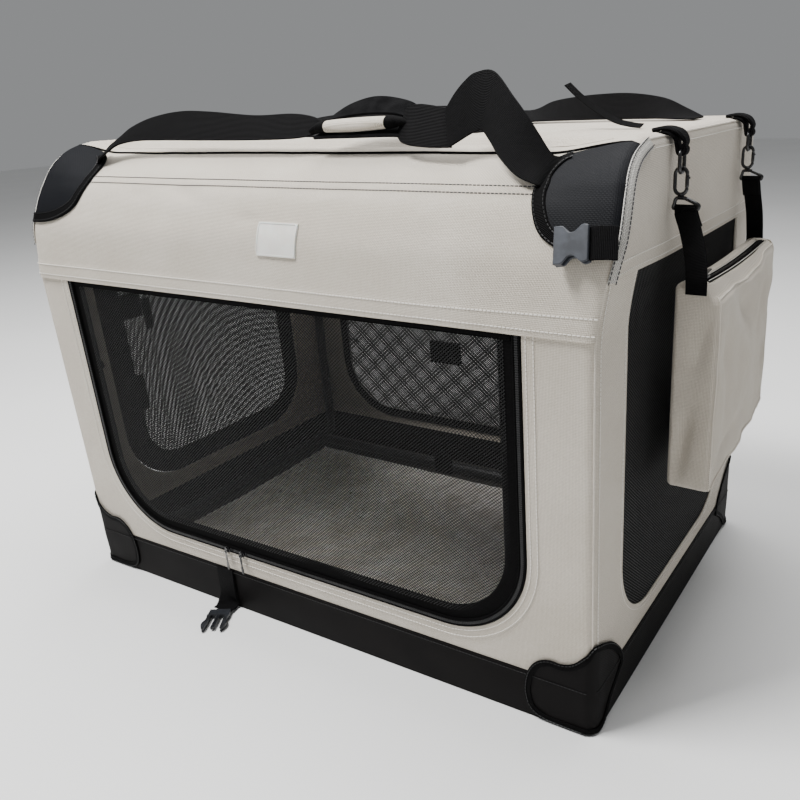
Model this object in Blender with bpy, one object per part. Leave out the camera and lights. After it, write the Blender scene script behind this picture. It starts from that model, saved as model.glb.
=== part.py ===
# Soft folding dog crate: a steel hoop frame under a fabric cover, standing on its base.
# Metres, +Z up, +X to the right along the front, front at -Y, origin under the middle of the floor.

import math

import bmesh
import bpy
from mathutils import Matrix, Vector

# Overall sizes of the cover
width = 0.810
depth = 0.526
height = 0.605
half_width = width / 2
half_depth = depth / 2
band_height = 0.0605
band_corner = 0.005
board_thickness = 0.004
cloth = 0.002
seam_gap = 0.0005
roof_chamfer = 0.008
fit_gap = 0.0003

# Loose hems of the upper cover, below the roof
front_hem = height - 0.161
end_hem = height - 0.118

# Floor mat
mat_end_gap = 0.033
mat_side_gap = 0.059
mat_edge = 0.006
mat_crown = 0.010
mat_pull = 0.006

# Frame
tube_radius = 0.008
tube_sides = 12
bend_steps = 4
lower_bend = 0.020
front_bend = 0.085
rear_bend = 0.030
leg_tail = 0.012
rail_wall = 0.0037
rail_eye_width = 0.014
eye_over_board = 0.0015
eye_under_roof = 0.003
eye_to_wall = 0.002
base_eye_to_bend = 0.0055
front_eye_to_bend = 0.0025
rear_eye_to_bend = 0.0075

# Knee knuckles
knuckle_wall = 0.0035
knuckle_to_wall = 0.002
leg_to_knuckle = 0.0035
knuckle_below = 0.030
knuckle_above = 0.034
knee_pin_radius = 0.004
pin_head_radius = 0.0065
pin_head_thickness = 0.0025
pin_cover = 0.004
button_radius = 0.006
button_length = 0.009
button_proud = 0.004
button_rise = 0.020

# Doors and windows: edges of the zipper or the binding
front_door_left = -half_width + 0.063
front_door_right = half_width - 0.075
front_door_bottom = 0.088
front_door_radius = 0.110
end_door_half = half_depth - 0.073
end_door_bottom = 0.085
end_door_radius = 0.090
back_window_half = half_width - 0.075
back_window_top = height - 0.105
zip_width = 0.010
corner_steps = 6

# Nets
net_border = 0.030
strand = 0.006

# Top hatch
hatch_left = -half_width + 0.075
hatch_right = half_width - 0.245
hatch_front = -half_depth + 0.158
hatch_rear = half_depth - 0.163
hatch_radius = 0.040

# Straps and trim
strap_width = 0.050
strap_thickness = 0.0025
patch_width = 0.105
patch_thickness = 0.0015
patch_low = height - 0.100
label_left = 0.004
label_right = 0.060
label_low = height - 0.112
label_high = height - 0.078
label_thickness = 0.002
lobe_reach = 0.070
lobe_proud = 0.0012

# Handles
front_handle_y = -half_depth + 0.093
rear_handle_y = half_depth - 0.113
rear_strap_width = 0.038
grip_radius = 0.0165
grip_width_share = 1.15
tie_width = 0.012
tie_thickness = 0.0012

# Zipper sliders
slider_half_width = 0.0055
slider_half_height = 0.0045
slider_depth = 0.005
slider_slot_half = 0.0022
pull_half_width = 0.0035
pull_thickness = 0.0016
pull_length = 0.030
pouch_slider_start = 0.006
pouch_slider_half_width = 0.004
slider_left_x = -0.124
slider_right_x = -0.097

# Buckles
buckle_width = 0.034
buckle_length = 0.036
buckle_thickness = 0.010
webbing_width = 0.030
webbing_thickness = 0.0016
socket_height = height - 0.080
socket_lean = (0, 0.4477, 0.894)
socket_web = 0.010
buckle_corner = 0.004
buckle_wall = 0.002
mouth_depth = 0.024
plug_x = -0.137
plug_yaw_deg = 30
plug_low = 0.0015
plug_thickness = 0.006
plug_gap = 0.0035

# Web of the plug: distance in front of the band, and height
plug_web_shape = [
    (0.0015, 0.0635),
    (0.0020, 0.0400),
    (0.0030, 0.0180),
    (0.0062, 0.0075),
    (0.0110, 0.0042),
]

# Right half of the plug from its web bar to its middle: across, along
plug_shape = [
    (0.0170, 0.0),
    (0.0170, -0.012),
    (0.0155, -0.020),
    (0.0185, -0.027),
    (0.0165, -0.037),
    (0.0135, -0.040),
    (0.0125, -0.036),
    (0.0115, -0.024),
    (0.0105, -0.013),
    (0.0030, -0.012),
    (0.0028, -0.036),
]

# Pouch and its hangers
pouch_inner_x = half_width + 0.0125
pouch_front_depth = 0.048
pouch_rear_depth = 0.036
pouch_front = -half_depth + 0.143
pouch_rear = half_depth - 0.058
pouch_low = height - 0.368
pouch_high = height - 0.143
hanger_x = half_width + 0.012
hanger_front_y = -half_depth + 0.178
hanger_rear_y = half_depth - 0.083
link_top = height - 0.017
link_half_height = 0.0125
link_half_width = 0.009
link_corner = 0.003
link_rod = 0.002
hook_rod = 0.0018
hook_half_width = 0.007
hook_half_height = 0.0145
gate_half = 0.006
gate_foot_gap = 0.001
strap_sewn_inset = 0.008
strap_foot = 0.008
strap_out_front = 0.024
strap_out_rear = 0.004
strap_start_out = 0.001
strap_start_drop = 0.012
hang_strap_width = 0.020
loop_half = 0.0038
loop_wall = 0.0019
loop_clearance = 0.0006
loop_over = 0.0025
loop_reach = 0.030
stem_radius = 0.003
stem_length = 0.004
eye_height = 0.010
eye_side_gap = 0.0027
eye_shift = 0.006
strap_clearance = 0.0008
pouch_corner = 0.008
pouch_zip_inset = 0.022
pouch_zip_half = 0.006
pouch_zip_end = 0.020

# Derived places
hinge_gap = tube_radius + fit_gap
eye_radius = hinge_gap + rail_wall
knuckle_radius = tube_radius + knuckle_wall
leg_lap = knuckle_radius + leg_to_knuckle + tube_radius
hoop_x = half_width - cloth - eye_to_wall - eye_radius
lower_leg_y = half_depth - cloth - knuckle_to_wall - knuckle_radius
upper_leg_y = lower_leg_y - leg_lap
base_rail_y = lower_leg_y - lower_bend - base_eye_to_bend - rail_eye_width / 2
top_rail_front_y = -upper_leg_y + front_bend + front_eye_to_bend + rail_eye_width / 2
top_rail_rear_y = upper_leg_y - rear_bend - rear_eye_to_bend - rail_eye_width / 2
base_bar_height = board_thickness + eye_over_board + eye_radius
top_bar_height = height - cloth - eye_under_roof - eye_radius
knee_height = (base_bar_height + top_bar_height) / 2
panel_top = front_hem - seam_gap
end_panel_top = end_hem - seam_gap
wall_inner_y = half_depth - cloth
wall_inner_x = half_width - cloth
link_low = link_top - 2 * (link_half_height - link_rod)

# The front of the cover seen from the right end, from the hem up to the roof:
# distance behind the front face and drop below the roof
slope_shape = [
    (0.0, 0.161),
    (0.0025, 0.130),
    (0.0065, 0.100),
    (0.0160, 0.077),
    (0.0260, 0.059),
    (0.0380, 0.042),
    (0.0530, 0.025),
    (0.0730, 0.012),
    (0.0930, 0.005),
    (0.1130, 0.0),
]
slope_points = [(-half_depth + behind, height - drop) for behind, drop in slope_shape]

# Straps: share of the half width, distance behind the handle's line, rise above the roof
front_strap_left_shape = [
    (-0.9037, -0.027, -0.0015),
    (-0.8519, -0.018, 0.007),
    (-0.7506, -0.005, 0.019),
    (-0.5926, 0.0, 0.029),
    (-0.4519, 0.0, 0.034),
    (-0.2469, 0.0, 0.029),
    (-0.0741, 0.0, 0.023),
    (0.0741, 0.0, 0.0205),
]
grip_shape = [
    (0.0852, 0.0, 0.0205),
    (0.1235, 0.0, 0.0225),
    (0.2222, 0.0, 0.027),
    (0.3210, 0.0, 0.027),
    (0.3642, 0.0, 0.0265),
]
front_strap_right_shape = [
    (0.3728, 0.0, 0.027),
    (0.4321, -0.002, 0.025),
    (0.4938, -0.005, 0.029),
    (0.5556, -0.008, 0.043),
    (0.6000, -0.010, 0.047),
    (0.6469, -0.016, 0.038),
    (0.7160, -0.028, 0.017),
    (0.7951, -0.046, -0.0055),
]
rear_strap_shape = [
    (-0.8642, 0.0, 0.018),
    (-0.6173, 0.0, 0.025),
    (-0.3457, 0.0, 0.035),
    (-0.0741, 0.0, 0.027),
    (0.1728, 0.0, 0.022),
    (0.3951, 0.0, 0.028),
    (0.6296, 0.0, 0.035),
    (0.8025, 0.0, 0.025),
    (0.9086, 0.0, 0.018),
]
tie_shape = [
    (0.8296, 0.0, 0.0018),
    (0.7778, 0.0, 0.007),
    (0.7160, 0.0, 0.020),
    (0.6617, 0.0, 0.035),
    (0.6173, 0.0, 0.047),
]


def clear_scene():
    for obj in list(bpy.data.objects):
        bpy.data.objects.remove(obj, do_unlink=True)


def material(name, colour, roughness, metallic=0.0):
    made = bpy.data.materials.new(name)
    made.use_nodes = True
    shader = made.node_tree.nodes["Principled BSDF"]
    shader.inputs["Base Color"].default_value = (*colour, 1.0)
    shader.inputs["Roughness"].default_value = roughness
    shader.inputs["Metallic"].default_value = metallic
    made.diffuse_color = (*colour, 1.0)
    return made


def add_object(name, mesh_tool, finish, pivot=(0, 0, 0)):
    """Turns world-space geometry into an object whose origin is the pivot."""
    mesh = bpy.data.meshes.new(name)
    bmesh.ops.recalc_face_normals(mesh_tool, faces=mesh_tool.faces)
    bmesh.ops.translate(mesh_tool, verts=mesh_tool.verts, vec=-Vector(pivot))
    mesh_tool.to_mesh(mesh)
    mesh_tool.free()
    if finish:
        mesh.materials.append(finish)
    obj = bpy.data.objects.new(name, mesh)
    obj.location = pivot
    bpy.context.scene.collection.objects.link(obj)
    return obj


def as_tool(obj):
    obj.hide_render = True
    obj.display_type = "WIRE"
    return obj


def boolean(obj, other, operation):
    change = obj.modifiers.new(other.name, "BOOLEAN")
    change.operation = operation
    change.solver = "EXACT"
    change.object = as_tool(other)
    return obj


def place(axis, u, v, level):
    """A point of a flat outline: x outlines are (y, z), y outlines (x, z), z outlines (x, y)."""
    if axis == "x":
        return Vector((level, u, v))
    if axis == "y":
        return Vector((u, level, v))
    return Vector((u, v, level))


def prism(outline, axis, low, high):
    tool = bmesh.new()
    rings = [[tool.verts.new(place(axis, u, v, level)) for u, v in outline] for level in (low, high)]
    add_tube_faces(tool, rings)
    return tool


def add_tube_faces(tool, rings):
    count = len(rings[0])
    for first, second in zip(rings, rings[1:]):
        for i in range(count):
            after = (i + 1) % count
            tool.faces.new((first[i], first[after], second[after], second[i]))
    tool.faces.new(rings[0])
    tool.faces.new(rings[-1][::-1])


def box(low, high):
    outline = [(low[0], low[1]), (high[0], low[1]), (high[0], high[1]), (low[0], high[1])]
    return prism(outline, "z", low[2], high[2])


def circle(radius, sides):
    turn = 2 * math.pi / sides
    return [(radius * math.cos(i * turn), radius * math.sin(i * turn)) for i in range(sides)]


def round_bar(centre, axis, radius, low, high, sides=16):
    outline = [(centre[0] + u, centre[1] + v) for u, v in circle(radius, sides)]
    return prism(outline, axis, low, high)


def arc(centre, radius, start, end, steps):
    return [
        (
            centre[0] + radius * math.cos(math.radians(start + (end - start) * i / steps)),
            centre[1] + radius * math.sin(math.radians(start + (end - start) * i / steps)),
        )
        for i in range(steps + 1)
    ]


def rounded_rectangle(left, right, low, high, radius):
    return (
        arc((left + radius, low + radius), radius, 180, 270, corner_steps)
        + arc((right - radius, low + radius), radius, 270, 360, corner_steps)
        + arc((right - radius, high - radius), radius, 0, 90, corner_steps)
        + arc((left + radius, high - radius), radius, 90, 180, corner_steps)
    )


def door_outline(left, right, low, top, radius):
    """Round at its two lower corners, square along its top edge."""
    return (
        [(left, top)]
        + arc((left + radius, low + radius), radius, 180, 270, corner_steps)
        + arc((right - radius, low + radius), radius, 270, 360, corner_steps)
        + [(right, top)]
    )


def inset_door(left, right, low, top, radius, by):
    return door_outline(left + by, right - by, low + by, top, radius - by)


def sweep(points, section, sides_dir):
    """Carries a flat section along 3-D points; sides_dir gives the section's first axis at each point."""
    tool = bmesh.new()
    points = [Vector(p) for p in points]
    rings = []
    for i, point in enumerate(points):
        before = points[max(i - 1, 0)]
        after = points[min(i + 1, len(points) - 1)]
        along = (after - before).normalized()
        side = Vector(sides_dir[i] if isinstance(sides_dir, list) else sides_dir)
        side = (side - along * side.dot(along)).normalized()
        up = along.cross(side)
        rings.append([tool.verts.new(point + side * u + up * v) for u, v in section])
    add_tube_faces(tool, rings)
    return tool


def strap_section(broad, thick):
    u = broad / 2
    v = thick / 2
    return [(-u, -v), (u, -v), (u, v), (-u, v)]


def bent(corners, radii, steps=bend_steps):
    """A path through 3-D corners, each inner corner rounded to its radius."""
    corners = [Vector(c) for c in corners]
    path = [corners[0]]
    for i in range(1, len(corners) - 1):
        to_before = (corners[i - 1] - corners[i]).normalized()
        to_after = (corners[i + 1] - corners[i]).normalized()
        half = to_before.angle(to_after) / 2
        reach = radii[i - 1] / math.tan(half)
        middle = corners[i] + (to_before + to_after).normalized() * radii[i - 1] / math.sin(half)
        start = (corners[i] + to_before * reach - middle).normalized()
        end = (corners[i] + to_after * reach - middle).normalized()
        path += [middle + start.slerp(end, k / steps) * radii[i - 1] for k in range(steps + 1)]
    path.append(corners[-1])
    return path


def smooth_path(points, per_span=6):
    """A curve through hand-placed points (Catmull-Rom)."""
    points = [Vector(p) for p in points]
    padded = [2 * points[0] - points[1]] + points + [2 * points[-1] - points[-2]]
    path = []
    for a, b, c, d in zip(padded, padded[1:], padded[2:], padded[3:]):
        for k in range(per_span):
            t = k / per_span
            second = 2 * a - 5 * b + 4 * c - d
            third = 3 * b - a - 3 * c + d
            path.append(0.5 * (2 * b + (c - a) * t + second * t * t + third * t ** 3))
    path.append(points[-1])
    return path


def over_roof(shape, line_y):
    """World points of a strap described above the roof."""
    return [(half_width * share, line_y + behind, height + rise) for share, behind, rise in shape]


def slope_offset(out):
    """The front slope moved outward by a distance, as (y, z) points."""
    moved = []
    last = len(slope_points) - 1
    for i, (y, z) in enumerate(slope_points):
        before = Vector(slope_points[max(i - 1, 0)])
        after = Vector(slope_points[min(i + 1, last)])
        along = (after - before).normalized()
        moved.append((y - along.y * out, z + along.x * out))
    return moved


def slope_at(z, out):
    """The y of the offset slope at a height."""
    points = slope_offset(out)
    for (y0, z0), (y1, z1) in zip(points, points[1:]):
        if z0 <= z <= z1:
            return y0 + (y1 - y0) * (z - z0) / (z1 - z0)
    return points[-1][0] if z > points[-1][1] else points[0][0]


def slope_sheet(left, right, low, high, inner, outer):
    """A sheet that follows the front slope between two heights."""
    def side(out):
        inside = [(y, z) for y, z in slope_offset(out) if low < z < high]
        return [(slope_at(low, out), low)] + inside + [(slope_at(high, out), high)]

    return prism(side(outer) + side(inner)[::-1], "x", left, right)


def net_plate(name, outline, axis, low, high, hole, columns, rows, finish, pivot=(0, 0, 0)):
    """A bound edge round a net of diamond gaps, as one flat piece."""
    plate = add_object(name, prism(outline, axis, low, high), finish, pivot)
    left, right, bottom, top = hole
    wide = (right - left) / columns
    tall = (top - bottom) / rows
    gap_u = (wide - strand) / 2
    gap_v = (tall - strand) / 2
    gaps = bmesh.new()
    for row in range(2 * rows - 1):
        shift = row % 2
        for column in range(columns - shift):
            u = left + wide * (column + (1 + shift) / 2)
            v = bottom + tall * (row + 1) / 2
            corners = [(u - gap_u, v), (u, v - gap_v), (u + gap_u, v), (u, v + gap_v)]
            rings = [
                [gaps.verts.new(place(axis, a, b, level)) for a, b in corners]
                for level in (low - cloth, high + cloth)
            ]
            add_tube_faces(gaps, rings)
    cutter = add_object(name + "_gaps", gaps, None)
    return boolean(plate, cutter, "DIFFERENCE")


def tube_object(name, path, finish, pivot, across=(1, 0, 0)):
    return add_object(name, sweep(path, circle(tube_radius, tube_sides), across), finish, pivot)


# Base


def make_base(mats):
    board_x = wall_inner_x - seam_gap
    board_y = wall_inner_y - seam_gap
    board = rounded_rectangle(-board_x, board_x, -board_y, board_y, band_corner - cloth)
    add_object("base_board", prism(board, "z", 0, board_thickness), mats["board"])
    outline = rounded_rectangle(-half_width, half_width, -half_depth, half_depth, band_corner)
    band = add_object("base_band", prism(outline, "z", 0, band_height), mats["satin"])
    hollow = prism(
        rounded_rectangle(-wall_inner_x, wall_inner_x, -wall_inner_y, wall_inner_y, band_corner - cloth),
        "z",
        -cloth,
        band_height + cloth,
    )
    for side_x in (-1, 1):
        for side_y in (-1, 1):
            boolean(band, corner_lobe(side_x, side_y), "UNION")
    boolean(band, add_object("band_hollow", hollow, None), "DIFFERENCE")
    mat = add_object(
        "floor_mat",
        cushion(
            half_width - mat_end_gap,
            half_depth - mat_side_gap,
            board_thickness + seam_gap,
        ),
        mats["fleece"],
    )
    mat.data.shade_smooth()


def corner_lobe(side_x, side_y):
    """The reinforcement over a bottom corner: a slightly larger block round the corner."""
    outer_x = half_width + lobe_proud
    outer_y = half_depth + lobe_proud
    block = box(
        (outer_x - lobe_reach, outer_y - lobe_reach, 0.0),
        (outer_x, outer_y, band_height - lobe_proud),
    )
    corner = Vector((outer_x, outer_y))
    upright = [e for e in block.edges if all((v.co.xy - corner).length < seam_gap for v in e.verts)]
    bmesh.ops.bevel(block, geom=upright, offset=band_corner, segments=3, affect="EDGES", profile=0.5)
    bmesh.ops.scale(block, verts=block.verts, vec=(side_x, side_y, 1))
    name = f"lobe_{'l' if side_x < 0 else 'r'}{'f' if side_y < 0 else 'b'}"
    return add_object(name, block, None)


def cushion(reach_x, reach_y, low):
    """A thin pad: flat below, crowned above, with its sides drawn in."""
    tool = bmesh.new()
    across = 12
    deep = 8

    def drawn(u, v):
        x = reach_x * (2 * u - 1)
        y = reach_y * (2 * v - 1)
        x += mat_pull * math.sin(math.pi * v) * (1 - 2 * u)
        y += mat_pull * math.sin(math.pi * u) * (1 - 2 * v)
        return x, y

    def top(u, v):
        bulge = (4 * u * (1 - u)) ** 0.5 * (4 * v * (1 - v)) ** 0.5
        return low + mat_edge + mat_crown * bulge

    uppers = []
    lowers = []
    for i in range(across + 1):
        uppers.append([])
        lowers.append([])
        for j in range(deep + 1):
            x, y = drawn(i / across, j / deep)
            uppers[i].append(tool.verts.new((x, y, top(i / across, j / deep))))
            lowers[i].append(tool.verts.new((x, y, low)))
    for i in range(across):
        for j in range(deep):
            tool.faces.new((uppers[i][j], uppers[i + 1][j], uppers[i + 1][j + 1], uppers[i][j + 1]))
            tool.faces.new((lowers[i][j], lowers[i][j + 1], lowers[i + 1][j + 1], lowers[i + 1][j]))
    for i in range(across):
        for j in (0, deep):
            tool.faces.new((uppers[i][j], uppers[i + 1][j], lowers[i + 1][j], lowers[i][j]))
    for j in range(deep):
        for i in (0, across):
            tool.faces.new((uppers[i][j], uppers[i][j + 1], lowers[i][j + 1], lowers[i][j]))
    return tool


# Frame


def rail(name, y, z, mats, pivot=(0, 0, 0)):
    """A straight tube whose ends are curled into eyes round the hoops' cross bars."""
    body = tube_object(
        name,
        [(-hoop_x + tube_radius + rail_wall / 2, y, z), (hoop_x - tube_radius - rail_wall / 2, y, z)],
        mats["steel"],
        pivot,
        (0, 1, 0),
    )
    for side in (-1, 1):
        reach = rail_eye_width / 2
        ring = round_bar((side * hoop_x, z), "y", eye_radius, y - reach, y + reach, 20)
        boolean(body, add_object(f"{name}_eye_{side}", ring, None), "UNION")
    for side in (-1, 1):
        bore = round_bar((side * hoop_x, z), "y", hinge_gap, y - rail_eye_width, y + rail_eye_width, 20)
        boolean(body, add_object(f"{name}_bore_{side}", bore, None), "DIFFERENCE")
    return body


def make_frame(mats):
    rail("base_rail_front", -base_rail_y, base_bar_height, mats)
    rail("base_rail_back", base_rail_y, base_bar_height, mats)
    top_pivot = (-hoop_x, 0, top_bar_height)
    rail("top_rail_front", top_rail_front_y, top_bar_height, mats, top_pivot)
    rail("top_rail_back", top_rail_rear_y, top_bar_height, mats, top_pivot)
    for side, word in ((-1, "left"), (1, "right")):
        x = side * hoop_x
        make_lower_hoop(word, x, mats)
        make_upper_hoop(word, x, mats)
        for sign, place_word in ((-1, "front"), (1, "back")):
            make_knuckle(word, place_word, x, sign, side, mats)


def make_lower_hoop(word, x, mats):
    leg_top = knee_height - knee_pin_radius - pin_cover
    corners = [
        (x, -lower_leg_y, leg_top),
        (x, -lower_leg_y, base_bar_height),
        (x, lower_leg_y, base_bar_height),
        (x, lower_leg_y, leg_top),
    ]
    path = bent(corners, [lower_bend, lower_bend])
    tube_object(f"lower_hoop_{word}", path, mats["steel"], (x, 0, base_bar_height))


def make_upper_hoop(word, x, mats):
    leg_end = knee_height - leg_tail
    corners = [
        (x, -upper_leg_y, leg_end),
        (x, -upper_leg_y, top_bar_height),
        (x, upper_leg_y, top_bar_height),
        (x, upper_leg_y, leg_end),
    ]
    path = bent(corners, [front_bend, rear_bend])
    hoop = tube_object(f"upper_hoop_{word}", path, mats["steel"], (x, 0, knee_height))
    for sign in (-1, 1):
        ends = sorted((sign * (upper_leg_y - leg_lap), sign * (upper_leg_y + leg_lap)))
        bore = round_bar((x, knee_height), "y", knee_pin_radius + fit_gap, *ends)
        boolean(hoop, add_object(f"knee_bore_{word}_{sign}", bore, None), "DIFFERENCE")


def make_knuckle(word, place_word, x, sign, side, mats):
    """A moulded sleeve on the lower leg with the pin that the upper leg turns on."""
    leg_y = sign * lower_leg_y
    name = f"knee_{place_word}_{word}"
    outline = [(x + u, leg_y + v) for u, v in circle(knuckle_radius, 20)]
    sleeve = prism(outline, "z", knee_height - knuckle_below, knee_height + knuckle_above)
    knuckle = add_object(name, sleeve, mats["plastic"], (x, 0, base_bar_height))
    far = sign * (upper_leg_y - tube_radius - fit_gap)
    head = sign * (upper_leg_y - tube_radius - fit_gap - pin_head_thickness)
    pin_end = far - sign * pin_head_thickness / 2
    pin = round_bar((x, knee_height), "y", knee_pin_radius, *sorted((leg_y, pin_end)))
    boolean(knuckle, add_object(name + "_pin", pin, None), "UNION")
    cap = round_bar((x, knee_height), "y", pin_head_radius, *sorted((far, head)))
    boolean(knuckle, add_object(name + "_head", cap, None), "UNION")
    socket_top = knee_height - knee_pin_radius - pin_cover + fit_gap
    socket = [(x + u, leg_y + v) for u, v in circle(tube_radius + fit_gap, tube_sides)]
    hole = prism(socket, "z", knee_height - knuckle_below - cloth, socket_top)
    boolean(knuckle, add_object(name + "_socket", hole, None), "DIFFERENCE")
    if sign > 0:
        make_button(word, x, leg_y, side, knuckle, mats)


def make_button(word, x, leg_y, side, knuckle, mats):
    """The push button that frees a locked knee, pressed from inside the crate."""
    inward = -side
    z = knee_height + button_rise
    face = x + inward * knuckle_radius
    outer = face + inward * button_proud
    inner = outer - inward * button_length
    rod = round_bar((leg_y, z), "x", button_radius, *sorted((outer, inner)))
    add_object(f"lock_button_{word}", rod, mats["grey_plastic"], (outer, leg_y, z))
    pocket_end = inner - inward * (button_proud + fit_gap)
    pocket_span = sorted((face + inward * button_length, pocket_end))
    pocket = round_bar((leg_y, z), "x", button_radius + fit_gap, *pocket_span)
    boolean(knuckle, add_object(f"button_pocket_{word}", pocket, None), "DIFFERENCE")


# Cover


def make_front(mats):
    sheet_low = -half_depth
    sheet_high = -wall_inner_y
    edge = wall_inner_x - seam_gap
    hole = door_outline(front_door_left, front_door_right, front_door_bottom, panel_top, front_door_radius)
    floor = band_height + seam_gap
    outline = [(-edge, floor), (-edge, panel_top)] + hole + [(edge, panel_top), (edge, floor)]
    add_object("front_panel", prism(outline, "y", sheet_low, sheet_high), mats["canvas"])

    door_edges = (front_door_left, front_door_right, front_door_bottom, panel_top, front_door_radius)
    outer = inset_door(*door_edges, seam_gap)
    inner = inset_door(*door_edges, zip_width)
    add_object("front_zipper", prism(outer + inner[::-1], "y", sheet_low, sheet_high), mats["tape"])

    by = zip_width + seam_gap
    door_pivot = (0, (sheet_low + sheet_high) / 2, panel_top)
    net_plate(
        "front_door",
        inset_door(*door_edges, by),
        "y",
        sheet_low,
        sheet_high,
        (
            front_door_left + by + net_border,
            front_door_right - by - net_border,
            front_door_bottom + by + net_border,
            panel_top - net_border,
        ),
        9,
        5,
        mats["net"],
        door_pivot,
    )
    flap = slope_sheet(-edge, edge, front_hem, height - seam_gap, -cloth, 0.0)
    add_object("front_flap", flap, mats["canvas"])


def make_end(side, word, mats):
    low, high = sorted((side * wall_inner_x, side * half_width))
    hole = door_outline(-end_door_half, end_door_half, end_door_bottom, end_panel_top, end_door_radius)
    floor = band_height + seam_gap
    lean = [(y, z) for y, z in slope_points if z < end_hem]
    side_points = lean + [(slope_at(end_panel_top, 0), end_panel_top)]
    back_edge = [(half_depth, end_panel_top), (half_depth, floor)]
    outline = [(-half_depth, floor)] + side_points + hole + back_edge
    add_object(f"{word}_panel", prism(outline, "x", low, high), mats["canvas"])

    upper = [(slope_at(end_hem, 0), end_hem)] + [(y, z) for y, z in slope_points if z > end_hem]
    upper += [(half_depth - roof_chamfer, height), (half_depth, height - roof_chamfer)]
    upper += [(half_depth, end_hem)]
    add_object(f"{word}_flap", prism(upper, "x", low, high), mats["canvas"])

    edges = (-end_door_half, end_door_half, end_door_bottom, end_panel_top, end_door_radius)
    gap_box = (
        -end_door_half + net_border,
        end_door_half - net_border,
        end_door_bottom + net_border,
        end_panel_top - net_border,
    )
    name = "left_door" if side < 0 else "right_window"
    pivot = ((low + high) / 2, 0, end_panel_top) if side < 0 else (0, 0, 0)
    net_plate(name, inset_door(*edges, seam_gap), "x", low, high, gap_box, 6, 6, mats["net"], pivot)


def make_back(mats):
    edge = wall_inner_x - seam_gap
    low = band_height + seam_gap
    high = height - cloth - seam_gap
    rectangle = [(-edge, low), (edge, low), (edge, high), (-edge, high)]
    wall = add_object("back_panel", prism(rectangle, "y", wall_inner_y, half_depth), mats["canvas"])
    window = (-back_window_half, back_window_half, front_door_bottom, back_window_top)
    hole = prism(rounded_rectangle(*window, end_door_radius), "y", wall_inner_y - cloth, half_depth + cloth)
    boolean(wall, add_object("back_hole", hole, None), "DIFFERENCE")
    left, right, bottom, top = window
    inside = (left + seam_gap, right - seam_gap, bottom + seam_gap, top - seam_gap)
    gap_box = (left + net_border, right - net_border, bottom + net_border, top - net_border)
    outline = rounded_rectangle(*inside, end_door_radius)
    net_plate("back_window", outline, "y", wall_inner_y, half_depth, gap_box, 8, 5, mats["net"])


def make_top(mats):
    pivot = (-hoop_x, 0, top_bar_height)
    edge = wall_inner_x - seam_gap
    low = height - cloth
    front = slope_offset(-cloth)[-1][0] + seam_gap
    sheet = box((-edge, front, low), (edge, half_depth, height))
    panel = add_object("top_panel", sheet, mats["canvas"], pivot)
    hatch = (hatch_left, hatch_right, hatch_front, hatch_rear)
    hole = prism(rounded_rectangle(*hatch, hatch_radius), "z", low - cloth, height + cloth)
    boolean(panel, add_object("hatch_hole", hole, None), "DIFFERENCE")
    inside = (hatch_left + seam_gap, hatch_right - seam_gap, hatch_front + seam_gap, hatch_rear - seam_gap)
    gap_box = (
        hatch_left + net_border,
        hatch_right - net_border,
        hatch_front + net_border,
        hatch_rear - net_border,
    )
    outline = rounded_rectangle(*inside, hatch_radius)
    hinge = (hatch_right, 0, height)
    net_plate("top_hatch", outline, "z", low, height, gap_box, 6, 3, mats["net"], hinge)


def make_patches(mats):
    edge = wall_inner_x - seam_gap
    inner = fit_gap
    outer = fit_gap + patch_thickness
    top = height - seam_gap
    for side, word in ((-1, "left"), (1, "right")):
        left, right = sorted((side * edge, side * (edge - patch_width)))
        sheet = slope_sheet(left, right, patch_low, top, inner, outer)
        add_object(f"upper_patch_{word}", sheet, mats["satin"])
    badge = slope_sheet(label_left, label_right, label_low, label_high, inner, inner + label_thickness)
    add_object("label_patch", badge, mats["rubber"])


# Zipper sliders


def make_slider(word, x, mats):
    """A slider on the straight lower run of the front zipper, and the tab that hangs from it."""
    face = -half_depth - fit_gap
    z = front_door_bottom + zip_width / 2
    slider_body = box(
        (x - slider_half_width, face - slider_depth, z - slider_half_height),
        (x + slider_half_width, face, z + slider_half_height),
    )
    slider = add_object(f"front_slider_{word}", slider_body, mats["zinc"], (x, face, z))
    slot = box(
        (x - slider_slot_half, face - slider_depth - seam_gap, z - slider_slot_half),
        (x + slider_slot_half, face - slider_depth / 2, z + slider_slot_half),
    )
    boolean(slider, add_object(f"slider_slot_{word}", slot, None), "DIFFERENCE")
    tab_y = face - slider_depth - seam_gap - pull_thickness / 2
    tab = box(
        (x - pull_half_width, tab_y - pull_thickness / 2, z - pull_length),
        (x + pull_half_width, tab_y + pull_thickness / 2, z + pull_thickness / 2),
    )
    add_object(f"front_pull_{word}", tab, mats["zinc"], (x, tab_y, z))


# Buckles


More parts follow.
